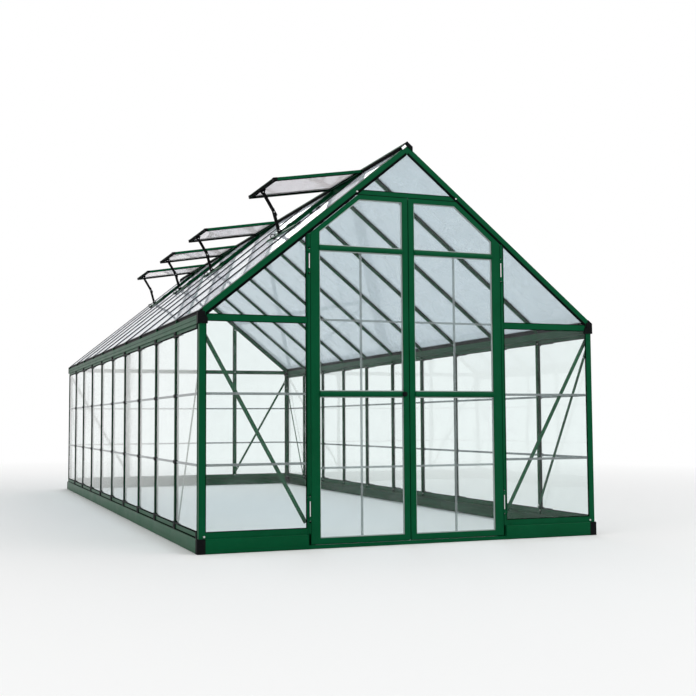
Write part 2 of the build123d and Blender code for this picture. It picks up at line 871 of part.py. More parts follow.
def left_door_stiles():
    body = left_door_body()
    outer = end_cut(body, -leaf_outer, -leaf_outer + stile_width)
    meeting = end_cut(body, -meeting_gap / 2 - meeting_width, -meeting_gap / 2)
    pin_y = leaf_front
    sleeve = pin_radius + pin_play + sleeve_wall
    for level in hinge_levels:
        for side in (-1, 1):
            z = level + side * (pin_open / 2 + sleeve_height / 2)
            ring = Pos(-hinge_x, pin_y, z) * sleeve_bar(sleeve, sleeve_height)
            tab = block((-hinge_x, pin_y, z - sleeve_height / 2),
                        (-leaf_outer + leaf_wall, pin_y + sleeve, z + sleeve_height / 2))
            hole = Pos(-hinge_x, pin_y, z) * Cylinder(pin_radius + pin_play, sleeve_height)
            outer = outer + ring + tab - hole
    return [outer, meeting]


def left_door_rails():
    body = left_door_body()
    inner = meeting_gap / 2 + meeting_width
    outer = leaf_outer - stile_width
    high = leaf_top - top_rail
    shoulder = (roof_z(0, chamfer_drop + chamfer_width) - high) / math.tan(pitch)
    level = end_cut(body, -outer, -inner)
    corner = end_cut(level, -outer, -shoulder) & block((-outer, front_y, transom_bottom + transom),
                                                       (0, front_y + past, roof_apex))
    return [level - corner, corner]


def left_door_glazing():
    return [gable_sheet(leaf_hole(low, high, bar_grip - slot_play), pane_front, glass)
            for low, high in pane_ranges()]


def left_door_knob():
    x = -(meeting_gap / 2 + meeting_width)
    stem_length = knob_reach + leaf_setback - knob_thickness
    stem = extrude(RegularPolygon(knob_stem_radius, sleeve_sides), amount=stem_length)
    head = Pos(0, 0, stem_length) * extrude(RegularPolygon(knob_radius, knob_sides), amount=knob_thickness)
    head = chamfer(head.edges().group_by(Axis.Z)[-1], knob_bevel)
    plane = Plane(origin=(x, leaf_front, knob_level), x_dir=(1, 0, 0), z_dir=(0, -1, 0))
    return [plane * (stem + head)]


nodes = {
    "base_left": base_sides(),
    "base_right": to_right(base_sides()),
    "base_front": base_front(),
    "base_rear": base_rear(),
    "base_corners": base_corners(),
    "corner_posts": corner_posts(),
    "studs_left": studs_left(),
    "studs_right": to_right(studs_left()),
    "eave_left": eave_left(),
    "eave_right": to_right(eave_left()),
    "eave_corners": eave_corners(),
    "wall_seams_left": wall_seams_left(),
    "wall_seams_right": to_right(wall_seams_left()),
    "panel_rails": wall_rails_left() + to_right(wall_rails_left()) + gable_rails(),
    "wall_glazing_left": wall_glazing_left(),
    "wall_glazing_right": to_right(wall_glazing_left()),
    "front_rafters": gable_rafters(),
    "rear_rafters": to_rear(gable_rafters()),
    "front_posts": front_posts(),
    "hinge_pins": hinge_pins(),
    "rear_posts": rear_posts(),
    "front_bars": front_bars() + collar_bar(),
    "rear_bars": rear_bars(),
    "gable_seams": gable_seams(),
    "door_sill": door_sill(),
    "front_glazing": front_glazing(),
    "rear_glazing": rear_glazing(),
    "ridge_beam": ridge_beam(),
    "ridge_caps": ridge_caps(),
    "rafters_left": rafters_left(),
    "rafters_right": to_right(rafters_left()),
    "roof_glazing_left": roof_glazing_left(),
    "roof_glazing_right": roof_glazing_right(),
    "braces": braces_gables() + braces_sides(),
    "vent_frames": vent_frames(),
    "vent_panes": vent_panes(),
    "vent_sills": vent_sills(),
    "vent_stays": vent_stays(),
    "left_door_stiles": left_door_stiles(),
    "left_door_rails": left_door_rails(),
    "left_door_glazing": left_door_glazing(),
    "left_door_knob": left_door_knob(),
    "right_door_stiles": to_right(left_door_stiles()),
    "right_door_rails": to_right(left_door_rails()),
    "right_door_glazing": to_right(left_door_glazing()),
}

os.makedirs("parts", exist_ok=True)
for name, parts in nodes.items():
    solids = [solid for part in parts for solid in part.solids()]
    shape = solids[0] if len(solids) == 1 else Compound(children=solids)
    export_step(shape, f"parts/{name}.step")
    print(name, len(solids))
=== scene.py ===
import json
import math

import bmesh
import bpy
from mathutils import Matrix, Vector


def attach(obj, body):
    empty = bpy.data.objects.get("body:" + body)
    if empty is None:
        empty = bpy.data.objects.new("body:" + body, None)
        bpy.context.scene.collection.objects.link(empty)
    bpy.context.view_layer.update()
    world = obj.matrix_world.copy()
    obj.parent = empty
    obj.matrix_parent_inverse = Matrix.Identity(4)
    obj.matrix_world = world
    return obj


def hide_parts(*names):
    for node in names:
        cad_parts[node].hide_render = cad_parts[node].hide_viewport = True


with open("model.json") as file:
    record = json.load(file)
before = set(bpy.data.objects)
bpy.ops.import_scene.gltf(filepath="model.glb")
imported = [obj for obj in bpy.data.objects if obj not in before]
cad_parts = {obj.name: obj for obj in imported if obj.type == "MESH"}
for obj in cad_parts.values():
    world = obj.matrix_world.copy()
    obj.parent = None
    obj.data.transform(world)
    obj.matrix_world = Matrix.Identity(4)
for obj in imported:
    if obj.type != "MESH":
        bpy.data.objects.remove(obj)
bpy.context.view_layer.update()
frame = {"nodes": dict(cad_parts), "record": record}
nodes = frame["nodes"]
print("frame loaded", len(nodes), "nodes")

# Lines of the house, in metres, that the added pieces sit on
house = {
    "halfWidth": 1.220,
    "wallFace": 1.211,
    "frontFace": -3.0395,
    "gableFace": -3.0305,
    "rearFace": 3.0605,
    "rearGable": 3.0515,
    "middle": 0.0105,
    "baseHeight": 0.078,
    "footRail": 0.112,
    "headRail": 1.190,
    "gutterLow": 1.212,
    "gutterHigh": 1.258,
    "eaveTop": 1.281,
    "pitch": math.radians(39.3),
    "bays": 10,
    "seams": (0.462, 0.840),
    "vents": (2, 5, 7, 9),
    "studHalf": 0.013,
    "studDepth": 0.022,
    "gripDepth": 0.0076,
    "cornerWidth": 0.036,
    "postOuter": 0.614,
    "postInner": 0.603,
    "rearPost": (0.569, 0.605),
    "eaveBar": (1.229, 1.263),
    "collarDrop": 0.305,
    "collarTall": 0.024,
}
wallFace, gableFace, gutterLow = house["wallFace"], house["gableFace"], house["gutterLow"]
baseHeight, footRail, headRail = house["baseHeight"], house["footRail"], house["headRail"]
bays, seams, vented = house["bays"], house["seams"], house["vents"]
bayLength = (house["rearGable"] - gableFace) / bays
fall, cosPitch, sinPitch = math.tan(house["pitch"]), math.cos(house["pitch"]), math.sin(house["pitch"])
roofApex = house["eaveTop"] + wallFace * fall
collarLow = roofApex - house["collarDrop"]
collarHigh = collarLow + house["collarTall"]
sides = (1, -1)
ends = (False, True)
sideNames = ((1, "left"), (-1, "right"))
endNames = ((False, "front"), (True, "rear"))


def bayLine(n):
    return gableFace + n * bayLength


def roofHeight(x, drop=0.0):
    return roofApex - abs(x) * fall - drop / cosPitch


# Shader maths


class Wire:
    # One value in a node tree, with operators that add Math nodes

    def __init__(self, tree, socket):
        self.tree = tree
        self.socket = socket

    def math(self, operation, *others):
        node = self.tree.nodes.new("ShaderNodeMath")
        node.operation = operation
        for slot, value in zip(node.inputs, (self, *others)):
            plug(self.tree, slot, value)
        return Wire(self.tree, node.outputs[0])

    def __add__(self, other):
        return self.math("ADD", other)

    __radd__ = __add__

    def __mul__(self, other):
        return self.math("MULTIPLY", other)

    __rmul__ = __mul__

    def __sub__(self, other):
        return self.math("SUBTRACT", other)

    def __rsub__(self, other):
        return self * -1.0 + other

    def clamp(self):
        return self.math("MAXIMUM", 0.0).math("MINIMUM", 1.0)


def plug(tree, slot, value):
    if isinstance(value, Wire):
        tree.links.new(value.socket, slot)
    else:
        slot.default_value = value


class Recipe:
    # A material's or the world's node tree

    def __init__(self, owner, output="OutputMaterial"):
        self.owner = owner
        owner.use_nodes = True
        self.tree = owner.node_tree
        self.tree.nodes.clear()
        self.output = self.tree.nodes.new("ShaderNode" + output)

    def node(self, kind, settings=None, sockets=None, out=0):
        # A node of the kind, its settings made first, then the values or links of its sockets
        made = self.tree.nodes.new("ShaderNode" + kind)
        for key, value in (settings or {}).items():
            setattr(made, key, value)
        for key, value in (sockets or {}).items():
            plug(self.tree, made.inputs[key], value)
        return Wire(self.tree, made.outputs[out])

    def coords(self, scale=(1.0, 1.0, 1.0)):
        return self.node("Mapping", {}, {"Vector": self.node("TexCoord", out="Object"), "Scale": scale})

    def noise(self, scale, detail=3.0, roughness=0.5, vector=None):
        return self.node("TexNoise", {}, {"Vector": vector or self.coords(), "Scale": scale,
                                          "Detail": detail, "Roughness": roughness}, "Fac")

    def mix(self, factor, first, second):
        return self.node("Mix", {"data_type": "RGBA"}, {0: factor, 6: first, 7: second}, 2)

    def bump(self, height, distance, strength=1.0):
        sockets = {"Height": height, "Distance": distance, "Strength": strength}
        return self.node("Bump", {}, sockets, "Normal")

    def shows(self, *rays):
        # 1 for the named kinds of ray, else 0
        found = self.node("LightPath").socket.node.outputs
        total, *others = [Wire(self.tree, found["Is %s Ray" % ray]) for ray in rays]
        for other in others:
            total = total.math("MAXIMUM", other)
        return total

    def finish(self, shader):
        self.tree.links.new(shader.socket, self.output.inputs["Surface"])
        return self.owner


def material(name):
    return Recipe(bpy.data.materials.new(name))


def tone(r, g, b):
    return (r, g, b, 1.0)


def powderCoat(name, base, pale, roughness=0.40):
    # Coated aluminium: fine orange peel, slightly paler patches and faint dust
    look = material(name)
    patches = look.noise(5.0, 4.0, 0.6)
    dust = (look.noise(34.0, 6.0, 0.7) - 0.55) * 4.0
    tint = look.mix((patches - 0.35).clamp() * 0.7, base, pale)
    tint = look.mix(dust.clamp() * 0.03, tint, tone(0.12, 0.18, 0.13))
    peel = look.noise(900.0, 2.0, 0.4)
    return look.finish(look.node("BsdfPrincipled", {}, {
        "Base Color": tint, "Roughness": patches * 0.18 + (roughness - 0.09),
        "Normal": look.bump(peel, 0.0002, 0.3), "Specular IOR Level": 0.11,
        "Specular Tint": tone(0.35, 1.0, 0.65)}))


def moulding(name, base, worn, roughness, grain=1400.0, sheen=0.12):
    # Black plastic or rubber with a fine grain and pale scuffs
    look = material(name)
    skin = look.noise(grain, 2.0, 0.5)
    scuff = (look.noise(55.0, 5.0, 0.7) - 0.52) * 3.0
    return look.finish(look.node("BsdfPrincipled", {}, {
        "Base Color": look.mix(scuff.clamp() * 0.3, base, worn),
        "Roughness": skin * 0.2 + (roughness - 0.1),
        "Normal": look.bump(skin, 0.0002, 0.5), "Specular IOR Level": sheen}))


def brightMetal(name, base, roughness):
    look = material(name)
    brushed = look.noise(700.0, 3.0, 0.6)
    dull = tone(base[0] * 0.75, base[1] * 0.75, base[2] * 0.75)
    return look.finish(look.node("BsdfPrincipled", {}, {
        "Base Color": look.mix(brushed, base, dull), "Metallic": 1.0,
        "Roughness": brushed * 0.15 + (roughness - 0.07), "Normal": look.bump(brushed, 0.0001, 0.3)}))


def clearSheet(name, tint, milkTone, haze, film, wave, ribs=0.0, bend=1.45):
    # Clear plastic sheet: faintly milky in patches, with a slow roll in its surface and fine inner ribs
    look = material(name)
    roll = look.noise(2.5, 1.0, 0.4)
    cloud = (look.noise(7.0, 5.0, 0.65) - 0.42).clamp()
    amount = cloud * film + haze
    if ribs:
        along = look.node("SeparateXYZ", {}, {"Vector": look.coords()}, 1)
        rib = ((along * (math.tau / ribs)).math("SINE") - 0.6).clamp() * 0.24
        amount = amount + rib
    body = look.node("BsdfPrincipled", {}, {
        "Base Color": tint, "Roughness": cloud * 0.08 + 0.015, "IOR": bend, "Transmission Weight": 1.0,
        "Normal": look.bump(roll, wave, 0.5)})
    milk = look.node("BsdfPrincipled", {}, {"Base Color": milkTone, "Roughness": 0.45})
    solid = look.node("MixShader", {}, {0: amount, 1: body, 2: milk})
    through = look.node("BsdfTransparent", {}, {"Color": tint})
    return look.finish(look.node("MixShader", {}, {0: look.shows("Shadow"), 1: solid, 2: through}))


green = powderCoat("greenCoat", tone(0.0006, 0.056, 0.019), tone(0.0015, 0.096, 0.038))
black = moulding("mouldedBlack", tone(0.0050, 0.0055, 0.0060), tone(0.026, 0.028, 0.028), 0.46, sheen=0.03)
rubber = moulding("sealRubber", tone(0.0025, 0.0028, 0.0030), tone(0.013, 0.013, 0.013), 0.72,
                  grain=2000.0, sheen=0.012)
clearEdge = moulding("paleSeal", tone(0.42, 0.47, 0.46), tone(0.60, 0.64, 0.62), 0.4, grain=900.0)
pinSteel = brightMetal("pinSteel", tone(0.80, 0.81, 0.80), 0.25)
zinc = brightMetal("zincBolt", tone(0.66, 0.67, 0.66), 0.34)
channelMetal = brightMetal("channelEnd", tone(0.86, 0.86, 0.85), 0.42)
wallSheet = clearSheet("wallSheet", tone(0.92, 0.96, 0.955), tone(0.70, 0.76, 0.78),
                       haze=0.004, film=0.07, wave=0.002, bend=1.27)
roofSheet = clearSheet("roofSheet", tone(0.78, 0.86, 0.91), tone(0.74, 0.79, 0.86),
                       haze=0.26, film=0.12, wave=0.0005, ribs=0.0105)
ventSheet = clearSheet("ventSheet", tone(0.90, 0.85, 0.87), tone(0.97, 0.93, 0.94),
                       haze=0.18, film=0.10, wave=0.0005, ribs=0.0105, bend=1.15)
seamStrip = clearSheet("seamStrip", tone(0.50, 0.56, 0.56), tone(0.30, 0.34, 0.34),
                       haze=0.35, film=0.2, wave=0.0005)

finishes = {
    "base": green, "base_corner": black, "frame": green, "eave": green, "eave_corner": black,
    "seam": seamStrip, "clear_panel": wallSheet, "sill": green, "ridge": green, "ridge_cap": black,
    "brace": green, "vent": green, "stay": black, "hinge_pin": pinSteel, "door": green, "knob": black,
}
sheets = {"roof_glazing_left": roofSheet, "roof_glazing_right": roofSheet, "vent_panes": ventSheet}
for part in frame["record"]["subparts"]:
    worn = nodes[part["node"]].data.materials
    worn.clear()
    worn.append(sheets.get(part["node"], finishes[part["material_slot"]]))
print("materials ready")


# Mesh making


class Maker:
    # Collects the shells of one piece and hands them over as one object

    def __init__(self, name):
        self.name = name
        self.mesh = bmesh.new()

    def shell(self, rings, loop=False):
        # Rings of equal length joined side by side, with a face over each end, or joined in a loop
        made = [[self.mesh.verts.new(point) for point in ring] for ring in rings]
        count = len(made[0])
        for low, high in zip(made, made[1:] + (made[:1] if loop else [])):
            for i in range(count):
                j = (i + 1) % count
                self.mesh.faces.new((low[i], low[j], high[j], high[i]))
        if not loop:
            self.mesh.faces.new(made[0])
            self.mesh.faces.new(made[-1])

    def prism(self, outline, start, end, place):
        # An outline (u, v) run from start to end, with place(u, v, t) giving its points
        self.shell([[place(u, v, t) for u, v in outline] for t in (start, end)])

    def block(self, us, vs, ts, place, edge=0.0):
        # A block with its long edges bevelled
        self.prism(bevelled(us, vs, edge), ts[0], ts[1], place)

    def turned(self, profile, base, axis, steps=16):
        # A profile of (radius, height) turned about an axis
        axis = Vector(axis).normalized()
        side = axis.orthogonal().normalized()
        other = axis.cross(side)
        rings = []
        for radius, height in profile:
            ring = []
            for i in range(steps):
                angle = math.tau * i / steps
                spoke = side * math.cos(angle) + other * math.sin(angle)
                ring.append(Vector(base) + axis * height + spoke * radius)
            rings.append(ring)
        self.shell(rings)

    def rod(self, start, end, radius, steps=10):
        start, end = Vector(start), Vector(end)
        self.turned([(radius, 0.0), (radius, (end - start).length)], start, end - start, steps)

    def screw(self, place, axis, radius, crown, low, proud, steps=12):
        # Round head, straight up to low and then drawn in to its crown
        self.turned([(radius, 0.0), (radius, low), (crown, proud)], place, axis, steps)

    def bolt(self, place, axis, across=0.010, head=0.004):
        # Washer and hexagon head
        washer = [(across * 0.68, 0.0), (across * 0.68, 0.0008), (across * 0.64, 0.0011)]
        self.turned(washer, place, axis, 12)
        half = across * 0.577
        seat = Vector(place) + Vector(axis).normalized() * 0.0010
        self.turned([(half, 0.0), (half, head * 0.8), (half * 0.86, head)], seat, axis, 6)

    def done(self, body, slot, finish, replaces=(), bevel=0.0):
        bmesh.ops.recalc_face_normals(self.mesh, faces=self.mesh.faces)
        data = bpy.data.meshes.new(self.name)
        self.mesh.to_mesh(data)
        self.mesh.free()
        thing = bpy.data.objects.new(self.name, data)
        bpy.context.scene.collection.objects.link(thing)
        data.materials.append(finish)
        if bevel:
            soften = thing.modifiers.new("soften", "BEVEL")
            soften.width = bevel
            soften.segments = 1
            soften.limit_method = "ANGLE"
            soften.angle_limit = math.radians(50)
        data.shade_smooth()
        data.set_sharp_from_angle(angle=math.radians(35))
        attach(thing, body)
        if replaces:
            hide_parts(*replaces)


def bevelled(us, vs, edge):
    (u0, u1), (v0, v1) = sorted(us), sorted(vs)
    if not edge:
        return [(u0, v0), (u1, v0), (u1, v1), (u0, v1)]
    return [(u0 + edge, v0), (u1 - edge, v0), (u1, v0 + edge), (u1, v1 - edge),
            (u1 - edge, v1), (u0 + edge, v1), (u0, v1 - edge), (u0, v0 + edge)]


def rounded(corners, radius, steps=3):
    # An open line through right-angled corners, with its bends rounded
    points = [Vector(corner) for corner in corners]
    line = [points[0]]
    for before, corner, after in zip(points, points[1:], points[2:]):
        back, on = (before - corner).normalized() * radius, (after - corner).normalized() * radius
        for i in range(steps + 1):
            turn = math.pi / 2 * i / steps
            line.append(corner + back * (1 - math.sin(turn)) + on * (1 - math.cos(turn)))
    return [tuple(point) for point in line + points[-1:]]


def flip(side=1, rear=False):
    # Places a point of the left front quarter on the chosen side and end
    def place(x, y, z):
        return Vector((x if side == 1 else -x, 2 * house["middle"] - y if rear else y, z))
    return place


quarters = [(flip(side, rear), rear) for rear in ends for side in sides]


def heading(at, x, y, z):
    return at(x, y, z) - at(0, 0, 0)


def alongHouse(at):
    # For outlines of (x, z) that run along the house
    return lambda x, z, t: at(x, t, z)


def acrossHouse(at):
    # For outlines of (y, z) that run across the house
    return lambda y, z, t: at(t, y, z)


def outward(side):
    # For outlines of (x, z) that run along the house, x measured outwards from its middle
    return lambda x, z, t: Vector((-side * x, t, z))


def slopePoint(run, lift, y, side=1):
    # A point on a roof slope: run down from the apex line, lift out of the roof's top face
    x = -run * cosPitch - lift * sinPitch
    return Vector((x if side == 1 else -x, y, roofApex - run * sinPitch + lift * cosPitch))


def pieces(prefix, names, slot, finish, replaces=""):
    # One piece for each side or end, handed over at the end of its turn
    for key, name in names:
        maker = Maker(prefix + name)
        yield maker, key
        maker.done("house", slot, finish, (replaces + name,) if replaces else ())


def bead(maker, start, end, across, out, width, proud):
    # A gasket bead between two points: half-round, lying in a corner
    across, out = Vector(across), Vector(out)
    profile = [(0.0, 0.0), (width, 0.0), (width * 0.92, proud * 0.55), (width * 0.6, proud),
               (width * 0.25, proud), (0.0, proud * 0.7)]
    maker.shell([[point + across * u + out * v for u, v in profile] for point in (start, end)])


def paneBeads(maker, corners, out, width, proud):
    # A bead along each side of a four-cornered opening
    for i, start in enumerate(corners):
        bead(maker, start, corners[(i + 1) % 4], (corners[i - 1] - start).normalized(), out, width, proud)


# Base
skirt = {
    "thickness": 0.0025,
    "top": 0.045,
    "foot": 0.025,
    "bend": 0.0045,
    "corner": 0.045,
    "lap": 0.008,
    "joints": (3.6, 7.2),   # in bays from the front
    "gap": 0.0012,
    "plate": (0.090, 0.002),    # joint plate behind the skirt: length and thickness
    "plateLevels": (0.014, 0.064),
    "shoeWall": 0.003,
    "shoeLid": 0.004,
}


def makeSkirts():
    thin, corner, gap = skirt["thickness"], skirt["corner"], skirt["gap"]
    face, front, rear = -house["halfWidth"], house["frontFace"], house["rearFace"]
    foot, top, bend = skirt["foot"], skirt["top"], skirt["bend"]
    outer, inner = (rounded([(foot, d), (d, d), (d, baseHeight - d), (top, baseHeight - d)], bend - d)
                    for d in (0.0, thin))
    profile = outer + inner[::-1]
    cuts = [front + corner] + [bayLine(n) for n in skirt["joints"]] + [rear - corner]
    length, thick = skirt["plate"]
    for maker, side in pieces("skirt_", sideNames, "base", green, "base_"):
        at = flip(side)
        for i, (low, high) in enumerate(zip(cuts, cuts[1:])):
            low += gap / 2 if i else 0.0
            high -= gap / 2 if i < len(cuts) - 2 else 0.0
            maker.prism(profile, low, high, lambda a, z, t: at(face + a, t, z))
        for y in cuts[1:-1]:
            maker.block((y - length / 2, y + length / 2), skirt["plateLevels"],
                        (face + thin, face + thin + thick), acrossHouse(at), 0.003)
    maker = Maker("skirt_front")
    post = -house["postOuter"]
    for side in sides:
        at = flip(side)
        maker.prism(profile, face + corner, post, lambda a, z, t: at(t, front + a, z))
        maker.block((front, front + thin), (0.0, baseHeight), (post, post + skirt["lap"]),
                    acrossHouse(at), 0.0006)
    maker.done("house", "base", green, ("base_front",))
    maker = Maker("skirt_rear")
    at = flip(1, True)
    maker.prism(profile, face + corner, -face - corner, lambda a, z, t: at(t, front + a, z))
    maker.done("house", "base", green, ("base_rear",))


def makeBaseCorners():
    # Moulded corner shoes: a wall with a rounded outer edge under a lid with a softened rim
    maker = Maker("corner_shoes")
    size, wall = skirt["corner"], skirt["shoeWall"]
    seat = baseHeight - skirt["shoeLid"]
    edge = [(0.0, 0.006), (0.0012, 0.0028), (0.0028, 0.0012), (0.006, 0.0)]
    rim = [(size, 0.0), (size, wall), (wall + 0.002, wall), (wall, wall + 0.002),
           (wall, size), (0.0, size)] + edge
    lid = [(size, 0.0), (size, size), (0.0, size)] + edge
    inset = [(size, 0.0008), (size, size), (0.0008, size),
             (0.0008, 0.0064), (0.0020, 0.0036), (0.0036, 0.0020), (0.0064, 0.0008)]
    for at, _ in quarters:
        def place(a, b, t):
            return at(-house["halfWidth"] + a, house["frontFace"] + b, t)
        maker.prism(rim, 0.0, seat, place)
        maker.shell([[place(a, b, z) for a, b in outline]
                     for outline, z in ((lid, seat), (lid, baseHeight - 0.0008), (inset, baseHeight))])
    maker.done("house", "base_corner", black, ("base_corners",))


makeSkirts()
makeBaseCorners()
print("base ready")

# Walls
wallTrim = {
    "bead": 0.0032,          # width of a gasket bead
    "proud": 0.0024,         # how far it stands out
    "clipWidth": 0.052,
    "clipProud": 0.0066,
    "armProud": 0.00528,
    "clipRoot": -0.0005,     # where a clip starts, just inside the stud's face
    "armHeight": 0.0085,
    "footArm": 0.130,
    "headArm": 0.180,
    "seamClip": (0.021, 0.056),
    "cornerClip": (-0.001, 0.030),
    "sealAndShadeStrip": (-0.0012, 0.0008, 0.0075),   # depths and height
    # the strip at the skirt's top edge is painted shade, a black shadow line; the foot and head rail strips
    # are seals
    "sealAndShadeLevels": (footRail - 0.0035, baseHeight + 0.0002, headRail - 0.0040),
    "screw": 0.0042,
    "boltDepth": 0.0145,
    "boltLevels": (baseHeight + 0.024, gutterLow - 0.020),
}


def wallBays():
    # Start and end of the open panel in each bay
    for n in range(bays):
        low = bayLine(n) + house["cornerWidth" if n == 0 else "studHalf"]
        high = bayLine(n + 1) - house["cornerWidth" if n == bays - 1 else "studHalf"]
        yield low, high


def makeWallGasketsAndShade():
    outer, inner = -wallFace, -wallFace + house["gripDepth"]
    depth0, depth1, tall = wallTrim["sealAndShadeStrip"]
    for maker, side in pieces("wall_gaskets_and_shade_", sideNames, "frame", rubber):
        at = flip(side)
        for start, end in wallBays():
            opening = ((start, footRail), (end, footRail), (end, headRail), (start, headRail))
            for x, out in ((outer, -1), (inner, 1)):
                paneBeads(maker, [at(x, y, z) for y, z in opening], at(out, 0, 0),
                          wallTrim["bead"], wallTrim["proud"])
            # Black strips on the foot and head rails are seals; the one on the skirt's top edge is painted
            # shade
            for level in wallTrim["sealAndShadeLevels"]:
                maker.block((outer + depth0, outer + depth1), (level, level + tall), (start, end),
                            alongHouse(at))


def makeWallClips():
    # Black feet, heads and seam clips on the studs, with an arm along the rail towards the front
    half, arm, screw = wallTrim["clipWidth"] / 2, wallTrim["armHeight"], wallTrim["screw"]
    root, proud, low = wallTrim["clipRoot"], wallTrim["clipProud"], wallTrim["armProud"]
    seamHigh, seamLong = (size / 2 for size in wallTrim["seamClip"])
    shapes = [(-half, half, baseHeight, footRail + arm + 0.003, proud, 0.002),
              (-wallTrim["footArm"], 0.0, footRail - 0.001, footRail + arm, low, 0.001),
              (-half, half, headRail - arm - 0.005, gutterLow, proud, 0.002),
              (-wallTrim["headArm"], 0.0, headRail - arm, headRail + 0.001, low, 0.001)]
    shapes += [(-seamLong, seamLong, level - seamHigh, level + seamHigh, low, 0.003) for level in seams]
    screws = [(baseHeight + 0.017, proud), (headRail + 0.010, proud)] + [(level, low) for level in seams]
    for maker, side in pieces("stud_clips_", sideNames, "base_corner", black):
        at = flip(side)

        def place(y, z, t):
            return at(-wallFace - t, y, z)
        for n in range(1, bays):
            y = bayLine(n)
            for y0, y1, z0, z1, depth, edge in shapes:
                maker.block((y + y0, y + y1), (z0, z1), (root, depth), place, edge)
            for level, depth in screws:
                maker.screw(place(y, level, depth), at(-1, 0, 0), screw, screw * 0.6, 0.0008, 0.0016)
        y0, y1 = (bayLine(0) + house["cornerWidth"] + reach for reach in wallTrim["cornerClip"])
        for z0, z1 in ((baseHeight, footRail), (headRail, gutterLow)):
            maker.block((y0, y1), (z0, z1), (root, 0.003), place, 0.002)


def makeWallBolts():
    # Bolts through each stud's stem at its foot and head, seen from inside
    maker = Maker("stud_bolts")
    x = wallTrim["boltDepth"] - wallFace
    for side in sides:
        for n in range(1, bays):
            for level in wallTrim["boltLevels"]:
                for way in sides:
                    maker.bolt(flip(side)(x, bayLine(n) + 0.0016 * way, level), (0, way, 0))
    maker.done("house", "frame", zinc)


makeWallGasketsAndShade()
makeWallClips()
makeWallBolts()
print("walls ready")

# Gables
gableTrim = {
    "bead": 0.0032,
    "proud": 0.0022,
    "rafterBlackStrip": (0.0295, 0.0408),   # drop below the roof's top face
    "sealProud": 0.0014,
    "paneSeal": 0.0440,
    "doorwayStopAndShade": 0.0034,
    "brightBolts": ((-1.181, 0.0895), (-0.309, collarLow + 0.014)),
    "coatedBolts": ((-1.194, 1.180), (-0.632, 1.246), (-1.135, 1.246), (-0.640, 0.0905)),
    "insideBolts": ((0.574, 0.030), (0.587, house["studDepth"])),   # across and depth, front and rear
}


def rafterRun(x0, x1, drop0, drop1):
    # Outline of a strip along the left rafter between two places across the house
    return [(x, roofHeight(x, drop)) for x, drop in ((x0, drop0), (x1, drop0), (x1, drop1), (x0, drop1))]


def makeRafterBlackStrips():
    # Black strips along the inner edge of the gable rafters, front and rear
    low, high = gableTrim["rafterBlackStrip"]
    under, tip = gableTrim["paneSeal"], -0.005
    strips = ((rafterRun(-wallFace + 0.035, tip, low, high), 0.0010),
              (rafterRun(-wallFace + 0.040, -house["postOuter"] - 0.002, high, under), 0.0015),
              (rafterRun(-0.315, tip, high, under), 0.0015))
    for maker, rear in pieces("rafter_black_strips_", endNames, "frame", rubber):
        for side in sides:
            for outline, depth in strips:
                maker.prism(outline, gableFace - gableTrim["sealProud"], gableFace + depth,
                            alongHouse(flip(side, rear)))


def makeDoorwayStopsAndShade():
    # Black rubber stops above the leaves, under the collar and along the two rafters; their black also
    # paints the shade in the gaps there
    hang, edge = gableTrim["doorwayStopAndShade"], gableTrim["rafterBlackStrip"][1] - 0.0006
    start, end = (-(roofApex - drop - level) / fall
                  for drop, level in ((edge, collarLow), (edge + hang, collarLow - hang)))
    collarStrip = [(start, collarLow), (0.0, collarLow), (0.0, collarLow - hang), (end, collarLow - hang)]
    rafterStrip = rafterRun(-house["postInner"], start + 0.002, edge, edge + hang)
    maker = Maker("doorway_stops_and_shade")
    for side in sides:
        for outline in (collarStrip, rafterStrip):
            maker.prism(outline, gableFace + 0.0003, gableFace + 0.0060, alongHouse(flip(side)))
    maker.done("house", "frame", rubber)


def makeGableGaskets():
    # Beads round the panes of the side columns, the collar pane and the rear middle
    barLow, barHigh = house["eaveBar"]
    corner = -wallFace + house["cornerWidth"]
    up, down = Vector((0, 0, 1)), Vector((0, 0, -1))
    for maker, rear in pieces("gable_gaskets_", endNames, "frame", rubber):
        post = -house["rearPost"][1] if rear else -house["postOuter"]
        for side in sides:
            at = flip(side, rear)
            right = heading(at, 1, 0, 0)
            runs = [(corner, footRail, corner, barLow, right),
                    (post, footRail, post, barLow, -right),
                    (corner, footRail, post, footRail, up),
                    (corner + 0.005, barLow, post, barLow, down),
                    (corner + 0.012, barHigh, post, barHigh, up),
                    (post, barHigh, post, roofHeight(post, 0.042), -right),
                    (-0.300, collarHigh, 0.0, collarHigh, up)]
            if rear:
                inner = -house["rearPost"][0]
                runs += [(inner, footRail, inner, barLow, right),
                         (inner, footRail, 0.0, footRail, up),
                         (inner, barLow, 0.0, barLow, down),
                         (inner, barHigh, 0.0, barHigh, up),
                         (inner, barHigh, inner, roofHeight(inner, 0.042), right),
                         (-0.310, collarLow, 0.0, collarLow, down)]
            for y, out in ((gableFace, -1), (gableFace + house["gripDepth"], 1)):
                for x0, z0, x1, z1, across in runs:
                    bead(maker, at(x0, y, z0), at(x1, y, z1), across, heading(at, 0, out, 0),
                         gableTrim["bead"], gableTrim["proud"])


def makeGableBolts():
    # Bright bolts at the corner feet and the collar's ends, coated ones on the bars, and a row inside
    maker = Maker("gable_bolts")
    coated = Maker("coated_bolts")
    for at, rear in quarters:
        for x, z in gableTrim["brightBolts"]:
            maker.bolt(at(x, gableFace, z), heading(at, 0, -1, 0), 0.0085, 0.0034)
        for x, z in gableTrim["coatedBolts"]:
            coated.bolt(at(x, gableFace, z), heading(at, 0, -1, 0), 0.0075, 0.0028)
        post, depth = gableTrim["insideBolts"][rear]
        for z in (baseHeight + 0.030, 1.246, roofHeight(post, 0.050) - 0.012):
            maker.bolt(at(-post, gableFace + depth, z), heading(at, 0, 1, 0))
    maker.done("house", "frame", zinc)
    coated.done("house", "frame", green)


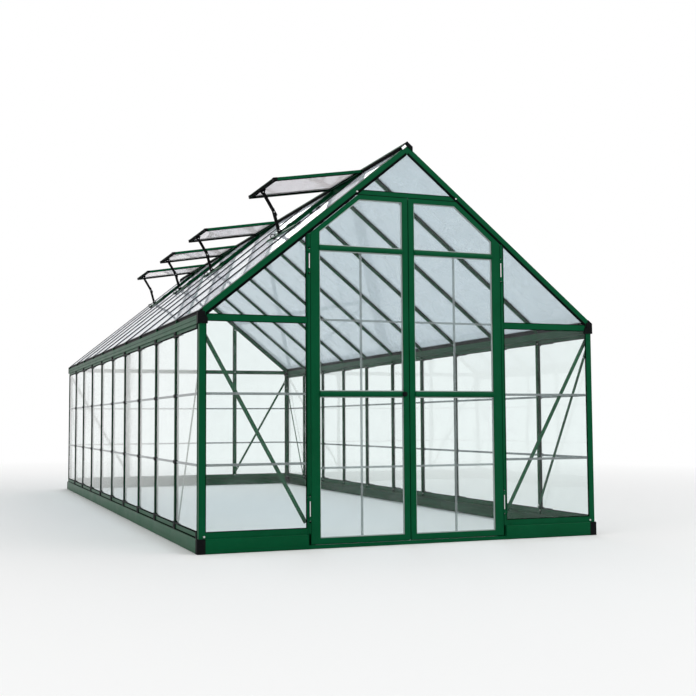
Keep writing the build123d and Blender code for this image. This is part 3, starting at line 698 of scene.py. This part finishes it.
# Covers on the eave corner mouldings
eaveCover = {
    "across": (-1.2195, -1.1800),
    "levels": (1.2165, 1.2785),
    "shoulder": -1.2110,
    "steps": ((1.0, 0.0005), (1.0, -0.0045), (0.94, -0.0058), (0.74, -0.0058),
              (0.68, -0.0071), (0.50, -0.0071)),   # share of the outline, how far out
    "lug": ((-1.1775, -1.1640), (1.2400, 1.2600), (0.0002, 0.0040)),
}


def makeEaveCovers():
    # Raised cover with a stepped face and a screw, and a lug beside it
    maker = Maker("eave_corner_covers")
    (outer, inner), (low, high) = eaveCover["across"], eaveCover["levels"]
    outline = [(outer, low), (inner - 0.004, low), (inner, low + 0.004), (inner, high - 0.003),
               (inner - 0.003, high), (eaveCover["shoulder"], high), (outer, roofHeight(outer) - 0.004)]
    midX, midZ = (sum(values) / len(outline) for values in zip(*outline))
    lugX, lugZ, lugY = eaveCover["lug"]
    for at, _ in quarters:
        maker.shell([[at(midX + (x - midX) * share, gableFace + y, midZ + (z - midZ) * share)
                      for x, z in outline] for share, y in eaveCover["steps"]])
        maker.screw(at(midX, gableFace + eaveCover["steps"][-1][1], midZ), heading(at, 0, -1, 0),
                    0.0045, 0.0030, 0.0008, 0.0015)
        maker.block(lugX, lugZ, (gableFace + lugY[0], gableFace + lugY[1]), alongHouse(at), 0.001)
    maker.done("house", "eave_corner", black)


makeEaveCovers()
makeRafterBlackStrips()
makeDoorwayStopsAndShade()
makeGableGaskets()
makeGableBolts()
print("gables ready")

# Roof
roofTrim = {
    "barHalf": 0.013,
    "endHalf": 0.0276,          # half-width of the gable rafter's part of the roof
    "sheetTop": -0.002,
    "sheetUnder": -0.0066,
    "bead": 0.0046,
    "proud": 0.0042,
    "topRun": 0.042,
    "ventRun": 0.628,           # where the beads start below a vent
    "lowRun": wallFace / cosPitch - 0.006,
    "panelEnd": wallFace / cosPitch - 0.008,
    "footCap": (0.034, 0.016, 0.010),
    "fillerAndShade": ((1.1955, 1.1995), (0.0064, 0.0265)),
}
gutter = {
    "endMargin": 0.026,
    "wall": 0.003,
    "carrier": 0.021,        # how far in the upright stands that carries the roof's foot
    "carrierDrop": 0.026,
    "tail": 0.016,
    "lowerLip": ((0.0, 0.0), (0.0, 0.0065), (0.0016, 0.0082)),   # in from the face, up from the bottom
    "groove": ((0.0016, 1.2335), (0.0024, 1.2340), (0.0024, 1.2362), (0.0016, 1.2367)),   # in, level
    "rolledEdge": ((0.0016, 0.0090), (0.0, 0.0072), (0.0, 0.0012), (0.0010, 0.0), (0.0044, 0.0),
                   (0.0050, 0.0016), (0.0044, 0.0030), (0.0030, 0.0034)),   # in, down from the top
    "line": ((0.0026, 0.0019), (1.2341, 1.2361), 0.030),   # painted shade, a black strip for the groove's shadow line: in, levels, margin
}
ventFitting = {
    "runs": (0.424, 0.587),
    "block": (0.014, 0.007, 0.006),
    "ringSeat": (0.655, 0.681),
    "ring": (0.668, 0.0185),    # run and lift of its middle
    "ringSize": (0.0150, 0.0034),
}


def onSlope(side):
    # For outlines of (run, lift) that run along the house
    return lambda run, lift, t: slopePoint(run, lift, t, side)


def roofBays():
    for n in range(bays):
        low = bayLine(n) + roofTrim["endHalf" if n == 0 else "barHalf"]
        high = bayLine(n + 1) - roofTrim["endHalf" if n == bays - 1 else "barHalf"]
        yield n + 1, low, high


def makeRoofGaskets():
    # Black beads down both edges of each roof bar, outside and inside
    faces = ((roofTrim["sheetTop"], roofTrim["lowRun"], 1),
             (roofTrim["sheetUnder"], roofTrim["lowRun"] - 0.02, -1))
    for maker, side in pieces("roof_gaskets_", sideNames, "frame", rubber):
        out = slopePoint(0, 1, 0, side) - slopePoint(0, 0, 0, side)
        for n, low, high in roofBays():
            start = roofTrim["ventRun" if side == 1 and n in vented else "topRun"]
            for y, across in ((low, 1), (high, -1)):
                for lift, end, way in faces:
                    bead(maker, slopePoint(start, lift, y, side), slopePoint(end, lift, y, side),
                         (0, across, 0), out * way, roofTrim["bead"], roofTrim["proud"])


def makeRoofEdges():
    # Dark channel on each panel's lower edge, black foam filling between the bars' feet whose black also
    # paints the shade under the panels' ends, and a cap on each foot
    end, top = roofTrim["panelEnd"], roofTrim["sheetTop"]
    channel = [(end - 0.011, top + 0.0012), (end + 0.0035, top + 0.0012), (end + 0.0035, top - 0.0060),
               (end - 0.008, top - 0.0060), (end - 0.008, top - 0.0048), (end + 0.0015, top - 0.0048),
               (end + 0.0015, top), (end - 0.011, top)]
    (inner, outer), (high, low) = roofTrim["fillerAndShade"]
    fillerAndShade = [(x, roofHeight(x, drop))
              for x, drop in ((outer, low), (outer, high), (inner, high), (inner, low))]
    wide, long, tall = roofTrim["footCap"]
    foot = wallFace / cosPitch
    for maker, side in pieces("roof_edge_", sideNames, "eave_corner", black):
        for _, start, stop in roofBays():
            maker.prism(channel, start + 0.0005, stop - 0.0005, onSlope(side))
            maker.prism(fillerAndShade, start - 0.0002, stop + 0.0002, outward(side))
        for y in map(bayLine, range(1, bays)):
            maker.block((foot - long, foot - 0.0006), (-tall, 0.0022), (y - wide / 2, y + wide / 2),
                        onSlope(side), 0.0015)


def makeGutters():
    # Gutter beams with a rolled top edge, a lower lip and a groove along the face, with a black strip
    # painted in the groove as its shade
    low, high = gableFace + gutter["endMargin"], house["rearGable"] - gutter["endMargin"]
    out, bottom, top = house["halfWidth"], gutterLow, house["gutterHigh"]
    wall, drop = gutter["wall"], gutter["carrierDrop"]
    floor, carrier = bottom + wall, out - gutter["carrier"]
    hook = carrier - wall
    tail = hook - gutter["tail"]
    profile = [(out - deep, bottom + up) for deep, up in gutter["lowerLip"]]
    profile += [(out - deep, level) for deep, level in gutter["groove"]]
    profile += [(out - deep, top - down) for deep, down in gutter["rolledEdge"]]
    profile += [(out - wall, floor), (carrier, floor), (carrier, roofHeight(carrier, drop)),
                (hook, roofHeight(hook, drop)), (hook, floor), (tail, floor), (tail, bottom)]
    deep, levels, margin = gutter["line"]
    for side, name in sideNames:
        maker = Maker("gutter_" + name)
        maker.prism(profile, low, high, outward(side))
        maker.done("house", "eave", green, ("eave_" + name,))
        # A black strip in the groove is painted shade, standing in for the groove's shadow line
        groove = Maker("gutter_groove_shade_" + name)
        groove.block([out - value for value in deep], levels, (low + margin, high - margin), outward(side))
        groove.done("house", "eave", rubber)


def makeRoofFittings():
    # Small black fittings on the bars beside each vent, and a wire ring standing below each sill
    maker = Maker("vent_side_fittings")
    long, wide, tall = ventFitting["block"]
    radius, wire = ventFitting["ringSize"]
    section = [(wire * math.cos(math.tau * j / 6), wire * math.sin(math.tau * j / 6)) for j in range(6)]
    for n in vented:
        for y in (bayLine(n - 1), bayLine(n)):
            for run in ventFitting["runs"]:
                maker.block((run - long, run + long), (0.0, tall), (y - wide, y + wide), slopePoint, 0.0015)
        middle = (bayLine(n - 1) + bayLine(n)) / 2
        maker.block(ventFitting["ringSeat"], (-0.0022, 0.0015), (middle - wide, middle + wide),
                    slopePoint, 0.001)
        centre = slopePoint(*ventFitting["ring"], middle)
        rings = []
        for i in range(20):
            spoke = Vector((math.cos(math.tau * i / 20), 0, math.sin(math.tau * i / 20)))
            rings.append([centre + spoke * (radius + u) + Vector((0, v, 0)) for u, v in section])
        maker.shell(rings, loop=True)
    maker.done("house", "stay", black)


makeRoofGaskets()
makeRoofEdges()
makeGutters()
makeRoofFittings()
print("roof ready")

# Ridge
ridge = {
    "half": 0.030,
    "rise": 0.018,
    "thickness": 0.004,
    "capMargin": 0.005,
    "capThickness": 0.006,
    "capSteps": ((1.0, 0.0), (1.0, -0.005), (0.95, -0.006), (0.84, -0.006), (0.80, -0.0045)),
    "channel": (0.010, 0.040, -0.004, 0.010),   # run and lift of the bright channel end
}


def makeRidgeCaps():
    # Moulded end caps with a rim and a screw, and the bright channel end that shows under the left wing
    cap = Maker("ridge_end_caps")
    channel = Maker("ridge_channel_ends")
    half = ridge["half"] + ridge["capMargin"]
    top = roofApex + ridge["rise"] + ridge["capMargin"]
    outline = [(0, top), (half, top - half * fall), (half, roofHeight(half, 0.002)),
               (0, roofHeight(0, 0.002)), (-half, roofHeight(half, 0.002)), (-half, top - half * fall)]
    midZ = sum(z for x, z in outline) / len(outline)
    face = gableFace - ridge["capThickness"]
    run0, run1, lift0, lift1 = ridge["channel"]
    plate = face - 0.0022
    for rear in ends:
        at = flip(1, rear)
        cap.shell([[at(x * share, gableFace + y, midZ + (z - midZ) * share) for x, z in outline]
                   for share, y in ridge["capSteps"]])
        cap.screw(at(0, face + 0.001, roofApex + 0.008), heading(at, 0, -1, 0),
                  0.0045, 0.003, 0.0012, 0.0022)
    channel.block((run0, run1), (lift0, lift1), (plate, face + 0.002), slopePoint, 0.001)
    channel.block((run0 + 0.004, run1 - 0.004), (lift0 + 0.004, lift1 - 0.003),
                  (plate - 0.0012, plate + 0.0005), slopePoint, 0.001)
    cap.done("house", "ridge_cap", black, ("ridge_caps",))
    channel.done("house", "ridge", channelMetal)


def makeRidgeSealsAndShade():
    # Black seals under both wings and along their edges, made wide so their black also paints the ridge's
    # shaded sides, and a crest bead on the ridge
    maker = Maker("ridge_seals_and_shade")
    low, high = gableFace + 0.001, house["rearGable"] - 0.001
    wing, rise, thick = ridge["half"], ridge["rise"], ridge["thickness"]
    under = [(wing - 0.0070, 0.0002), (wing + 0.0045, 0.0002), (wing + 0.0045, rise - 0.001),
             (wing + 0.0030, rise + 0.0016), (wing - 0.0005, rise + 0.0020),
             (wing + 0.0002, rise - thick), (wing - 0.0070, rise - thick)]
    edge = [(x, roofHeight(x) + rise + lift)
            for x, lift in ((wing - 0.010, 0.0), (wing, 0.0), (wing, 0.0020), (wing - 0.010, 0.0020))]
    for side in sides:
        for n, start, end in roofBays():
            if not (side == 1 and n in vented):
                maker.prism([(x, roofHeight(x) + lift) for x, lift in under], start, end, outward(side))
        maker.prism(edge, low, high, outward(side))
    maker.done("house", "ridge", rubber)
    crest = Maker("ridge_crest")
    top = roofApex + rise
    left = [(-0.006, top - 0.0049), (-0.0045, top + 0.0012), (-0.0015, top + 0.0030)]
    crest.prism(left + [(-x, z) for x, z in reversed(left)], low, high, outward(-1))
    crest.done("house", "ridge", green)


makeRidgeCaps()
makeRidgeSealsAndShade()
print("ridge ready")

# Vents
vent = {
    "angle": math.radians(30.0),
    "length": 0.585,
    "bar": 0.020,
    "half": 0.009,
    "hingeRun": 0.032,
    "hingeLift": 0.011,
    "sideGap": 0.010,
    "sillRun": 0.600,
    "sillWidth": 0.024,
    "sillLift": 0.008,
    "corner": 0.026,
    "over": 0.0012,          # how far corner keys and end seal stand out
    "seal": 0.0035,
    "bead": 0.0035,
    "beadDepth": 0.0066,
    "innerBead": 0.0064,
    "armWidth": 0.021,
    "armThick": 0.0060,
    "bracketDrop": 0.016,
    "kneeShare": 0.56,
    "kneeOffset": 0.018,
    "kneeLap": 0.020,
}
ventWidth = bayLength - 2 * (house["studHalf"] + vent["sideGap"])


def ventPoint(n, run, lift, y):
    # A point of an open vent: run down the leaf from its hinge, lift out of it, y from its near side
    angle = house["pitch"] - vent["angle"]
    cos, sin = math.cos(angle), math.sin(angle)
    near = bayLine(n - 1) + house["studHalf"] + vent["sideGap"]
    hinge = slopePoint(vent["hingeRun"], vent["hingeLift"], near + y)
    return hinge + Vector((-cos * run - sin * lift, 0, -sin * run + cos * lift))


def onVent(n):
    # For outlines of (run, lift) that run along the house, and of (run, y) that stand out of the vent
    def place(run, lift, y):
        return ventPoint(n, run, lift, y)

    def flat(run, y, lift):
        return ventPoint(n, run, lift, y)
    return place, flat


def makeVentKeys():
    # Moulded keys round the two free corners of each vent: under, over, beside and at the end
    maker = Maker("vent_corner_keys")
    length, half, size, over = (vent[key] for key in ("length", "half", "corner", "over"))
    tip = (length - size, length + over)
    for n in vented:
        place, flat = onVent(n)
        for edge, inside, skin in ((-over, size, 0.0014), (ventWidth + over, ventWidth - size, -0.0014)):
            maker.block(tip, (edge, inside), (-half - over, -half + 0.0004), flat, 0.003)
            maker.block(tip, (edge, inside), (half - 0.0004, half + 0.0010), flat, 0.003)
            maker.block(tip, (-half - 0.0008, half + 0.0006), (edge, edge + skin), place, 0.001)
            maker.block((length, length + over), (edge, inside), (-half - 0.0008, half + 0.0006),
                        flat, 0.0003)
    maker.done("house", "vent", black)


def makeVentSealsAndShade():
    # A black seal round the underside, whose black also paints the shade under the frame, a seal on the
    # free end, pane beads and the hinge bead of each vent
    maker = Maker("vent_seals_and_shade")
    length, bar, half, size = (vent[key] for key in ("length", "bar", "half", "corner"))
    width, far, free = ventWidth, ventWidth - bar, length - bar
    for n in vented:
        place, flat = onVent(n)
        for run0, run1, y0, y1 in ((0.002, 0.008, 0.002, width - 0.002),
                                   (length - 0.016, length - 0.002, 0.002, width - 0.002),
                                   (0.008, length - 0.016, 0.005, 0.014),
                                   (0.008, length - 0.016, width - 0.014, width - 0.002)):
            maker.block((run0, run1), (y0, y1), (-half - vent["seal"], -half), flat, 0.0008)
        maker.block((length, length + vent["over"]), (size, width - size), (-half, half - 0.004), flat)
        for way, rise in ((1, vent["bead"]), (-1, vent["innerBead"])):
            level = way * (half - vent["beadDepth"])
            opening = ((bar, bar), (bar, far), (free, far), (free, bar))
            paneBeads(maker, [place(run, level, y) for run, y in opening], heading(place, 0, way, 0),
                      vent["bead"], rise)
        start, end = (place(-0.003, half - 0.0035, y) for y in (-0.004, width + 0.004))
        maker.rod(start, end, 0.0050, 12)
    maker.done("house", "vent", rubber)


def stayPlaces():
    # Runs and lifts, on the left slope, of the stay's rail, top pivot, knee, low pivot and foot
    angle = vent["angle"]
    run = vent["length"] - vent["bar"] / 2
    rail = Vector((vent["hingeRun"] + run * math.cos(angle) + vent["half"] * math.sin(angle),
                   vent["hingeLift"] + run * math.sin(angle) - vent["half"] * math.cos(angle)))
    top = rail + Vector((math.sin(angle), -math.cos(angle))) * vent["bracketDrop"]
    foot = Vector((vent["sillRun"] + vent["sillWidth"] / 2, vent["sillLift"]))
    low = foot + Vector((0, vent["bracketDrop"]))
    knee = top + (low - top) * vent["kneeShare"] - Vector((vent["kneeOffset"], 0))
    return rail, top, knee, low, foot


def stadium(first, second, width, steps=6):
    # Outline of a flat arm with round ends
    along = (second - first).normalized()
    base = math.atan2(along.y, along.x)
    points = []
    for centre, start in ((second, base - math.pi / 2), (first, base + math.pi / 2)):
        for i in range(steps + 1):
            angle = start + math.pi * i / steps
            points.append((centre.x + math.cos(angle) * width / 2, centre.y + math.sin(angle) * width / 2))
    return points


def makeVentStays():
    # Two flat arms side by side at the knee, forked brackets and pivot bolts
    maker = Maker("vent_arms")
    bolts = Maker("vent_arm_pivots")
    rail, top, knee, low, foot = stayPlaces()
    width, thick, play = vent["armWidth"], vent["armThick"], 0.0004
    upper = stadium(top, knee + (knee - top).normalized() * vent["kneeLap"], width)
    lower = stadium(knee - (low - knee).normalized() * vent["kneeLap"], low, width)
    brackets = []
    for inner, outer, far in ((top, rail, 0.020), (low, foot, 0.018)):
        down = (outer - inner).normalized()
        side = Vector((-down.y, down.x))
        near, left, right = inner - down * 0.006, outer - side * far, outer + side * far
        cheek = [near + side * 0.010, near - side * 0.010, left, right]
        shoe = [left - down * 0.003, right - down * 0.003, right, left]
        brackets.append(([tuple(p) for p in cheek], [tuple(p) for p in shoe]))
    for n in vented:
        middle = (bayLine(n - 1) + bayLine(n)) / 2

        def place(run, lift, y):
            return slopePoint(run, lift, middle + y)
        maker.prism(upper, -thick - play, -play, place)
        maker.prism(lower, play, thick + play, place)
        for cheek, shoe in brackets:
            for y0, y1 in ((-0.0095, -0.0065), (0.0065, 0.0095)):
                maker.prism(cheek, y0, y1, place)
            maker.prism(shoe, -0.016, 0.016, place)
        for spot, reach in ((top, 0.0095), (knee, 0.0050), (low, 0.0095)):
            for way in sides:
                axis = (0, way, 0)
                maker.screw(place(*spot, reach * way), axis, 0.0105, 0.0085, 0.0014, 0.0026, 16)
                bolts.screw(place(*spot, (reach + 0.0020) * way), axis, 0.0040, 0.0025, 0.0012, 0.0022)
            maker.rod(place(*spot, -reach), place(*spot, reach), 0.0042, 12)
    maker.done("house", "stay", black, ("vent_stays",), 0.0004)
    bolts.done("house", "stay", zinc)


makeVentKeys()
makeVentSealsAndShade()
makeVentStays()
print("vents ready")

# Doors
leafShoulder = roofHeight(0.590, 0.046)
railLow = leafShoulder - 0.093
door = {
    "face": -3.0355,
    "thickness": 0.024,
    "outer": 0.590,
    "meet": 0.0025,
    "stile": 0.0525,
    "meetStile": 0.0335,
    "bottom": 0.025,
    "chamfer": 0.071,
    "panes": ((0.056, 0.825), (0.856, railLow), (railLow + 0.029, collarLow - 0.030)),
    "rails": ((0.825, 0.856), (railLow, railLow + 0.029)),
    "railSwell": (0.0085, 0.0045),   # front and back
    "railRoot": 0.001,       # how far a cover reaches into its rail
    "seams": (0.435, 1.250),
    "joint": 0.290,
    "jointHalf": 0.006,
    "jointDepths": (0.0088, 0.0152),
    "jointMargin": 0.004,    # from the leaf's frame
    "jointClear": 0.007,     # from the middle of the upright strip
    "sealWidth": 0.005,
    "sealDepths": (0.0070, 0.0105),
    "brushDepths": (0.009, 0.015),
    "brushFoot": 0.0215,
    "edgeSeal": (-0.0005, 0.0016),   # on the meeting edge, across
    "edgeLevels": (0.030, collarLow - 0.012),
    "screwLevels": (0.0405, 0.8405, railLow + 0.0145),
    "screwIns": (0.034, 0.012),      # from the outer edge, and from the pane
    "screw": (0.0038, 0.0024, 0.0012, 0.0019),
}
knob = {
    "place": (-0.036, 0.8405),
    "front": ((0.0145, -0.001), (0.0145, 0.0015), (0.0125, 0.0030), (0.0062, 0.0036), (0.0056, 0.0085),
              (0.0090, 0.0105), (0.0135, 0.0125), (0.0150, 0.0155), (0.0150, 0.0185), (0.0138, 0.0215),
              (0.0105, 0.0238), (0.0055, 0.0247)),   # radius, how far out
    "back": ((0.0145, -0.001), (0.0145, 0.0015), (0.0060, 0.0030), (0.0056, 0.0085), (0.0135, 0.0125),
             (0.0150, 0.0160), (0.0138, 0.0200), (0.0060, 0.0220)),
}
hinge = {
    "levels": (0.216, leafShoulder - 0.156),
    "across": 0.597,
    "pinHalf": 0.0653,
    "clear": 0.0115,         # from a pin's end to the beads next to it
    "margin": 0.004,         # from the skirt and the shoulder
    "bead": ((0.0030, 0.0), (0.0045, 0.0015)),   # radius, distance from its end
    "web": 0.0026,
}
leafFace, leafBack = door["face"], door["face"] + door["thickness"]
paneLeft, paneRight = door["outer"] - door["stile"], door["meet"] + door["meetStile"]


def paneOutline(low, high, inset=0.0):
    # Opening of a leaf between two levels, with its chamfer, for the left leaf
    left, right = paneLeft - inset, paneRight + inset
    low, high = low + inset, high - inset
    drop = door["chamfer"] + inset
    shoulder = (roofHeight(0, drop) - high) / fall
    if shoulder >= left:
        return [(-left, low), (-right, low), (-right, high), (-left, high)]
    return [(-left, low), (-right, low), (-right, high), (-shoulder, high), (-left, roofHeight(left, drop))]


def frameStrip(maker, outer, inner, start, end, place):
    # A flat border between two outlines of equal length
    for i in range(len(outer)):
        j = (i + 1) % len(outer)
        maker.prism([outer[i], outer[j], inner[j], inner[i]], start, end, place)


def addRailCovers(maker, at):
    # Rounded front and back of the level rails
    halfTurn = [math.pi * i / 8 for i in range(9)]
    for low, high in door["rails"]:
        middle, tall = (low + high) / 2, (high - low) / 2
        for base, swell, way in zip((leafFace, leafBack), door["railSwell"], (-1, 1)):
            root = base - way * door["railRoot"]
            profile = [(base + way * swell * math.sin(turn), middle + tall * math.cos(turn))
                       for turn in halfTurn]
            maker.prism(profile + [(root, low), (root, high)], -paneLeft, -paneRight, acrossHouse(at))


def addPaneSeals(maker, at):
    # Pale seals round the panes, both faces
    near, far = door["sealDepths"]
    for low, high in door["panes"]:
        rim, lip = paneOutline(low, high), paneOutline(low, high, door["sealWidth"])
        for start, end in ((leafFace + near, leafFace + far), (leafBack - far, leafBack - near)):
            frameStrip(maker, rim, lip, start, end, alongHouse(at))


def addPaneJoints(maker, at):
    # Clear joining strips between the sheets of the leaf
    joint, half, margin, clear = (door[key] for key in ("joint", "jointHalf", "jointMargin", "jointClear"))
    spans = [(-joint - half, -joint + half, low + margin, high - margin) for low, high in door["panes"][:2]]
    for level in door["seams"]:
        for x0, x1 in ((-paneLeft + margin, -joint - clear), (-joint + clear, -paneRight - margin)):
            spans.append((x0, x1, level - half, level + half))
    depths = [leafFace + depth for depth in door["jointDepths"]]
    for x0, x1, z0, z1 in spans:
        maker.block((x0, x1), (z0, z1), depths, alongHouse(at), 0.0005)


def addBrushes(maker, at):
    # Brush along the bottom, rubber along the meeting edge
    foot = ((-door["outer"] + 0.002, -door["meet"] - 0.001), (door["brushFoot"], door["bottom"] + 0.0005))
    edge = ([reach - door["meet"] for reach in door["edgeSeal"]], door["edgeLevels"])
    depths = [leafFace + depth for depth in door["brushDepths"]]
    for across, levels in (foot, edge):
        maker.block(across, levels, depths, alongHouse(at), 0.0005)


def addLeafScrews(maker, at):
    # Screws of the corner joints, on the back
    outerIn, paneIn = door["screwIns"]
    for z in door["screwLevels"]:
        for x in (outerIn - door["outer"], paneIn - paneRight):
            maker.screw(at(x, leafBack - 0.0005, z), (0, 1, 0), *door["screw"])


def makeLeaves():
    parts = (("rail_covers", green, addRailCovers), ("pane_seals", clearEdge, addPaneSeals),
             ("pane_joints", seamStrip, addPaneJoints), ("door_brushes", rubber, addBrushes),
             ("door_screws", zinc, addLeafScrews))
    for side, name in sideNames:
        for part, finish, add in parts:
            maker = Maker("%s_%s" % (name, part))
            add(maker, flip(side))
            maker.done(name + "_door", "door", finish)


def makeKnob():
    # Turned knob on a round rose, and a smaller one on the back of the leaf
    maker = Maker("door_knob")
    x, z = knob["place"]
    maker.turned(knob["front"], (x, leafFace, z), (0, -1, 0), 32)
    maker.turned(knob["back"], (x, leafBack, z), (0, 1, 0), 32)
    maker.done("left_door", "knob", black, ("left_door_knob",))


def makeHinges():
    # End caps on the hinge pins
    caps = Maker("hinge_pin_caps")
    across = -hinge["across"]
    for side in sides:
        for level in hinge["levels"]:
            for way in sides:
                tip = flip(side)(across, leafFace, level + way * (hinge["pinHalf"] - 0.0005))
                caps.screw(tip, (0, 0, way), 0.0043, 0.0028, 0.0014, 0.0024, 16)
    caps.done("house", "hinge_pin", pinSteel)
    # Round beads of the posts that fill the hinge gap above, between and below the pins
    beads = Maker("hinge_beads")
    first, second = hinge["levels"]
    reach, margin = hinge["pinHalf"] + hinge["clear"], hinge["margin"]
    for side in sides:
        at = flip(side)
        for low, high in ((baseHeight + margin, first - reach), (first + reach, second - reach),
                          (second + reach, leafShoulder - margin)):
            profile = list(hinge["bead"])
            profile += [(radius, high - low - height) for radius, height in reversed(profile)]
            beads.turned(profile, at(across, leafFace + 0.001, low), (0, 0, 1), 14)
            beads.block((-house["postInner"] - 0.004, across - 0.001), (leafFace, leafFace + hinge["web"]),
                        (low, high), at)
    beads.done("house", "frame", green)


makeLeaves()
makeKnob()
makeHinges()
print("doors ready")

# Braces
brace = {
    "headDrop": 0.022,
    "rise": 0.062,
    "inset": 0.014,
    "sideDrop": 0.092,
    "sideRise": 0.042,
    "thickness": 0.003,
    "feet": (house["postOuter"], 0.587),   # front and rear
    "boltShares": (0.055, 0.955),
    "sideBoltShares": (0.05, 0.985),
}


def makeBraceBolts():
    # Bolts at both ends of each brace, and a plate behind the head of each gable brace
    maker = Maker("brace_bolts")
    plates = Maker("brace_plates")
    inside = house["studDepth"] + brace["thickness"]
    x, y = -wallFace + inside, gableFace + inside
    head = Vector((-wallFace + brace["inset"], y, gutterLow - brace["headDrop"]))
    sideHead = Vector((x, gableFace + brace["inset"], gutterLow - brace["sideDrop"]))
    sideFoot = Vector((x, bayLine(1), baseHeight + brace["sideRise"]))
    for at, rear in quarters:
        foot = Vector((-brace["feet"][rear], y, baseHeight + brace["rise"]))
        for share in brace["boltShares"]:
            maker.bolt(at(*head.lerp(foot, share)), heading(at, 0, 1, 0))
        for share in brace["sideBoltShares"]:
            maker.bolt(at(*sideHead.lerp(sideFoot, share)), heading(at, 1, 0, 0))
        plates.block((-wallFace + 0.002, -wallFace + 0.030), (gutterLow - 0.060, gutterLow - 0.004),
                     (y - 0.0052, y - 0.003), alongHouse(at), 0.004)
    maker.done("house", "brace", zinc)
    plates.done("house", "brace", green)


makeBraceBolts()
print("braces ready")

# Floor: pale near the house, fading to the white of the backdrop
studioLook = {
    "floorTone": tone(0.86, 0.855, 0.845),
    "fadeStart": 2.9,
    "fadeRate": 0.17,
    "light": (tone(0.97, 0.985, 1.0), 0.68),
    "lampSize": 6.0,
    "lamps": {   # place, target, power
        "keyLight": ((5.0, -9.0, 8.0), (0, -1, 1), 430),
        "fillLight": ((-9.0, -6.0, 5.0), (0, -1, 1), 220),
        "rearLight": ((3.0, 10.0, 8.0), (0, 0, 1), 300),
    },
}
floorLook = material("floor")
stretched = floorLook.coords((1.0, 0.75, 0.0))
spread = floorLook.node("VectorMath", {"operation": "LENGTH"}, {"Vector": stretched}, "Value")
fade = ((spread - studioLook["fadeStart"]) * studioLook["fadeRate"]).clamp()
seen = floorLook.shows("Camera", "Glossy", "Transmission")
plain = floorLook.node("BsdfPrincipled", {}, {"Base Color": studioLook["floorTone"], "Roughness": 0.9})
white = floorLook.node("Emission", {}, {"Color": tone(1.0, 1.0, 1.0), "Strength": 1.0})
floorMesh = bpy.data.meshes.new("floor")
floorMesh.from_pydata([(-60, -60, 0), (60, -60, 0), (60, 60, 0), (-60, 60, 0)], [], [(0, 1, 2, 3)])
floorLook.finish(floorLook.node("MixShader", {}, {0: fade * seen, 1: plain, 2: white}))
floorMesh.materials.append(floorLook.owner)
floor = bpy.data.objects.new("floor", floorMesh)
floor.location.z = -0.001
bpy.context.scene.collection.objects.link(floor)

# White to the eye and in reflections, softer as light
studio = Recipe(bpy.data.worlds.new("studio"), "OutputWorld")
bpy.context.scene.world = studio.owner
lightTone, lightPower = studioLook["light"]
soft = studio.node("Background", {}, {"Color": lightTone, "Strength": lightPower})
bright = studio.node("Background", {}, {"Color": tone(1.0, 1.0, 1.0), "Strength": 1.0})
seen = studio.shows("Camera", "Glossy", "Transmission")
studio.finish(studio.node("MixShader", {}, {0: seen, 1: soft, 2: bright}))

for name, (place, target, power) in studioLook["lamps"].items():
    lamp = bpy.data.lights.new(name, "AREA")
    lamp.size = studioLook["lampSize"]
    lamp.energy = power
    lampObject = bpy.data.objects.new(name, lamp)
    lampObject.location = place
    lampObject.rotation_euler = (Vector(target) - Vector(place)).to_track_quat("-Z", "Y").to_euler()
    lampObject.visible_transmission = False
    bpy.context.scene.collection.objects.link(lampObject)

view = {
    "place": (-2.4847, -8.5837, 0.6865),
    "yaw": 0.363835,
    "pitch": 0.068782,
    "roll": -0.006028,
    "lens": 55.41,
    "sensor": 36.0,
}
camera = bpy.data.cameras.new("camera")
camera.lens = view["lens"]
camera.sensor_width = view["sensor"]
camera.clip_end = 200
cameraObject = bpy.data.objects.new("camera", camera)
forward = Vector((math.sin(view["yaw"]) * math.cos(view["pitch"]),
                  math.cos(view["yaw"]) * math.cos(view["pitch"]), math.sin(view["pitch"])))
right = Vector((math.cos(view["yaw"]), -math.sin(view["yaw"]), 0.0))
up = right.cross(forward)
sideways = right * math.cos(view["roll"]) + up * math.sin(view["roll"])
upward = up * math.cos(view["roll"]) - right * math.sin(view["roll"])
turned = Matrix((sideways, upward, -forward)).transposed().to_4x4()
cameraObject.matrix_world = Matrix.Translation(view["place"]) @ turned
bpy.context.scene.collection.objects.link(cameraObject)
bpy.context.scene.camera = cameraObject
bpy.context.scene.view_settings.view_transform = "Standard"
print("camera and light ready")
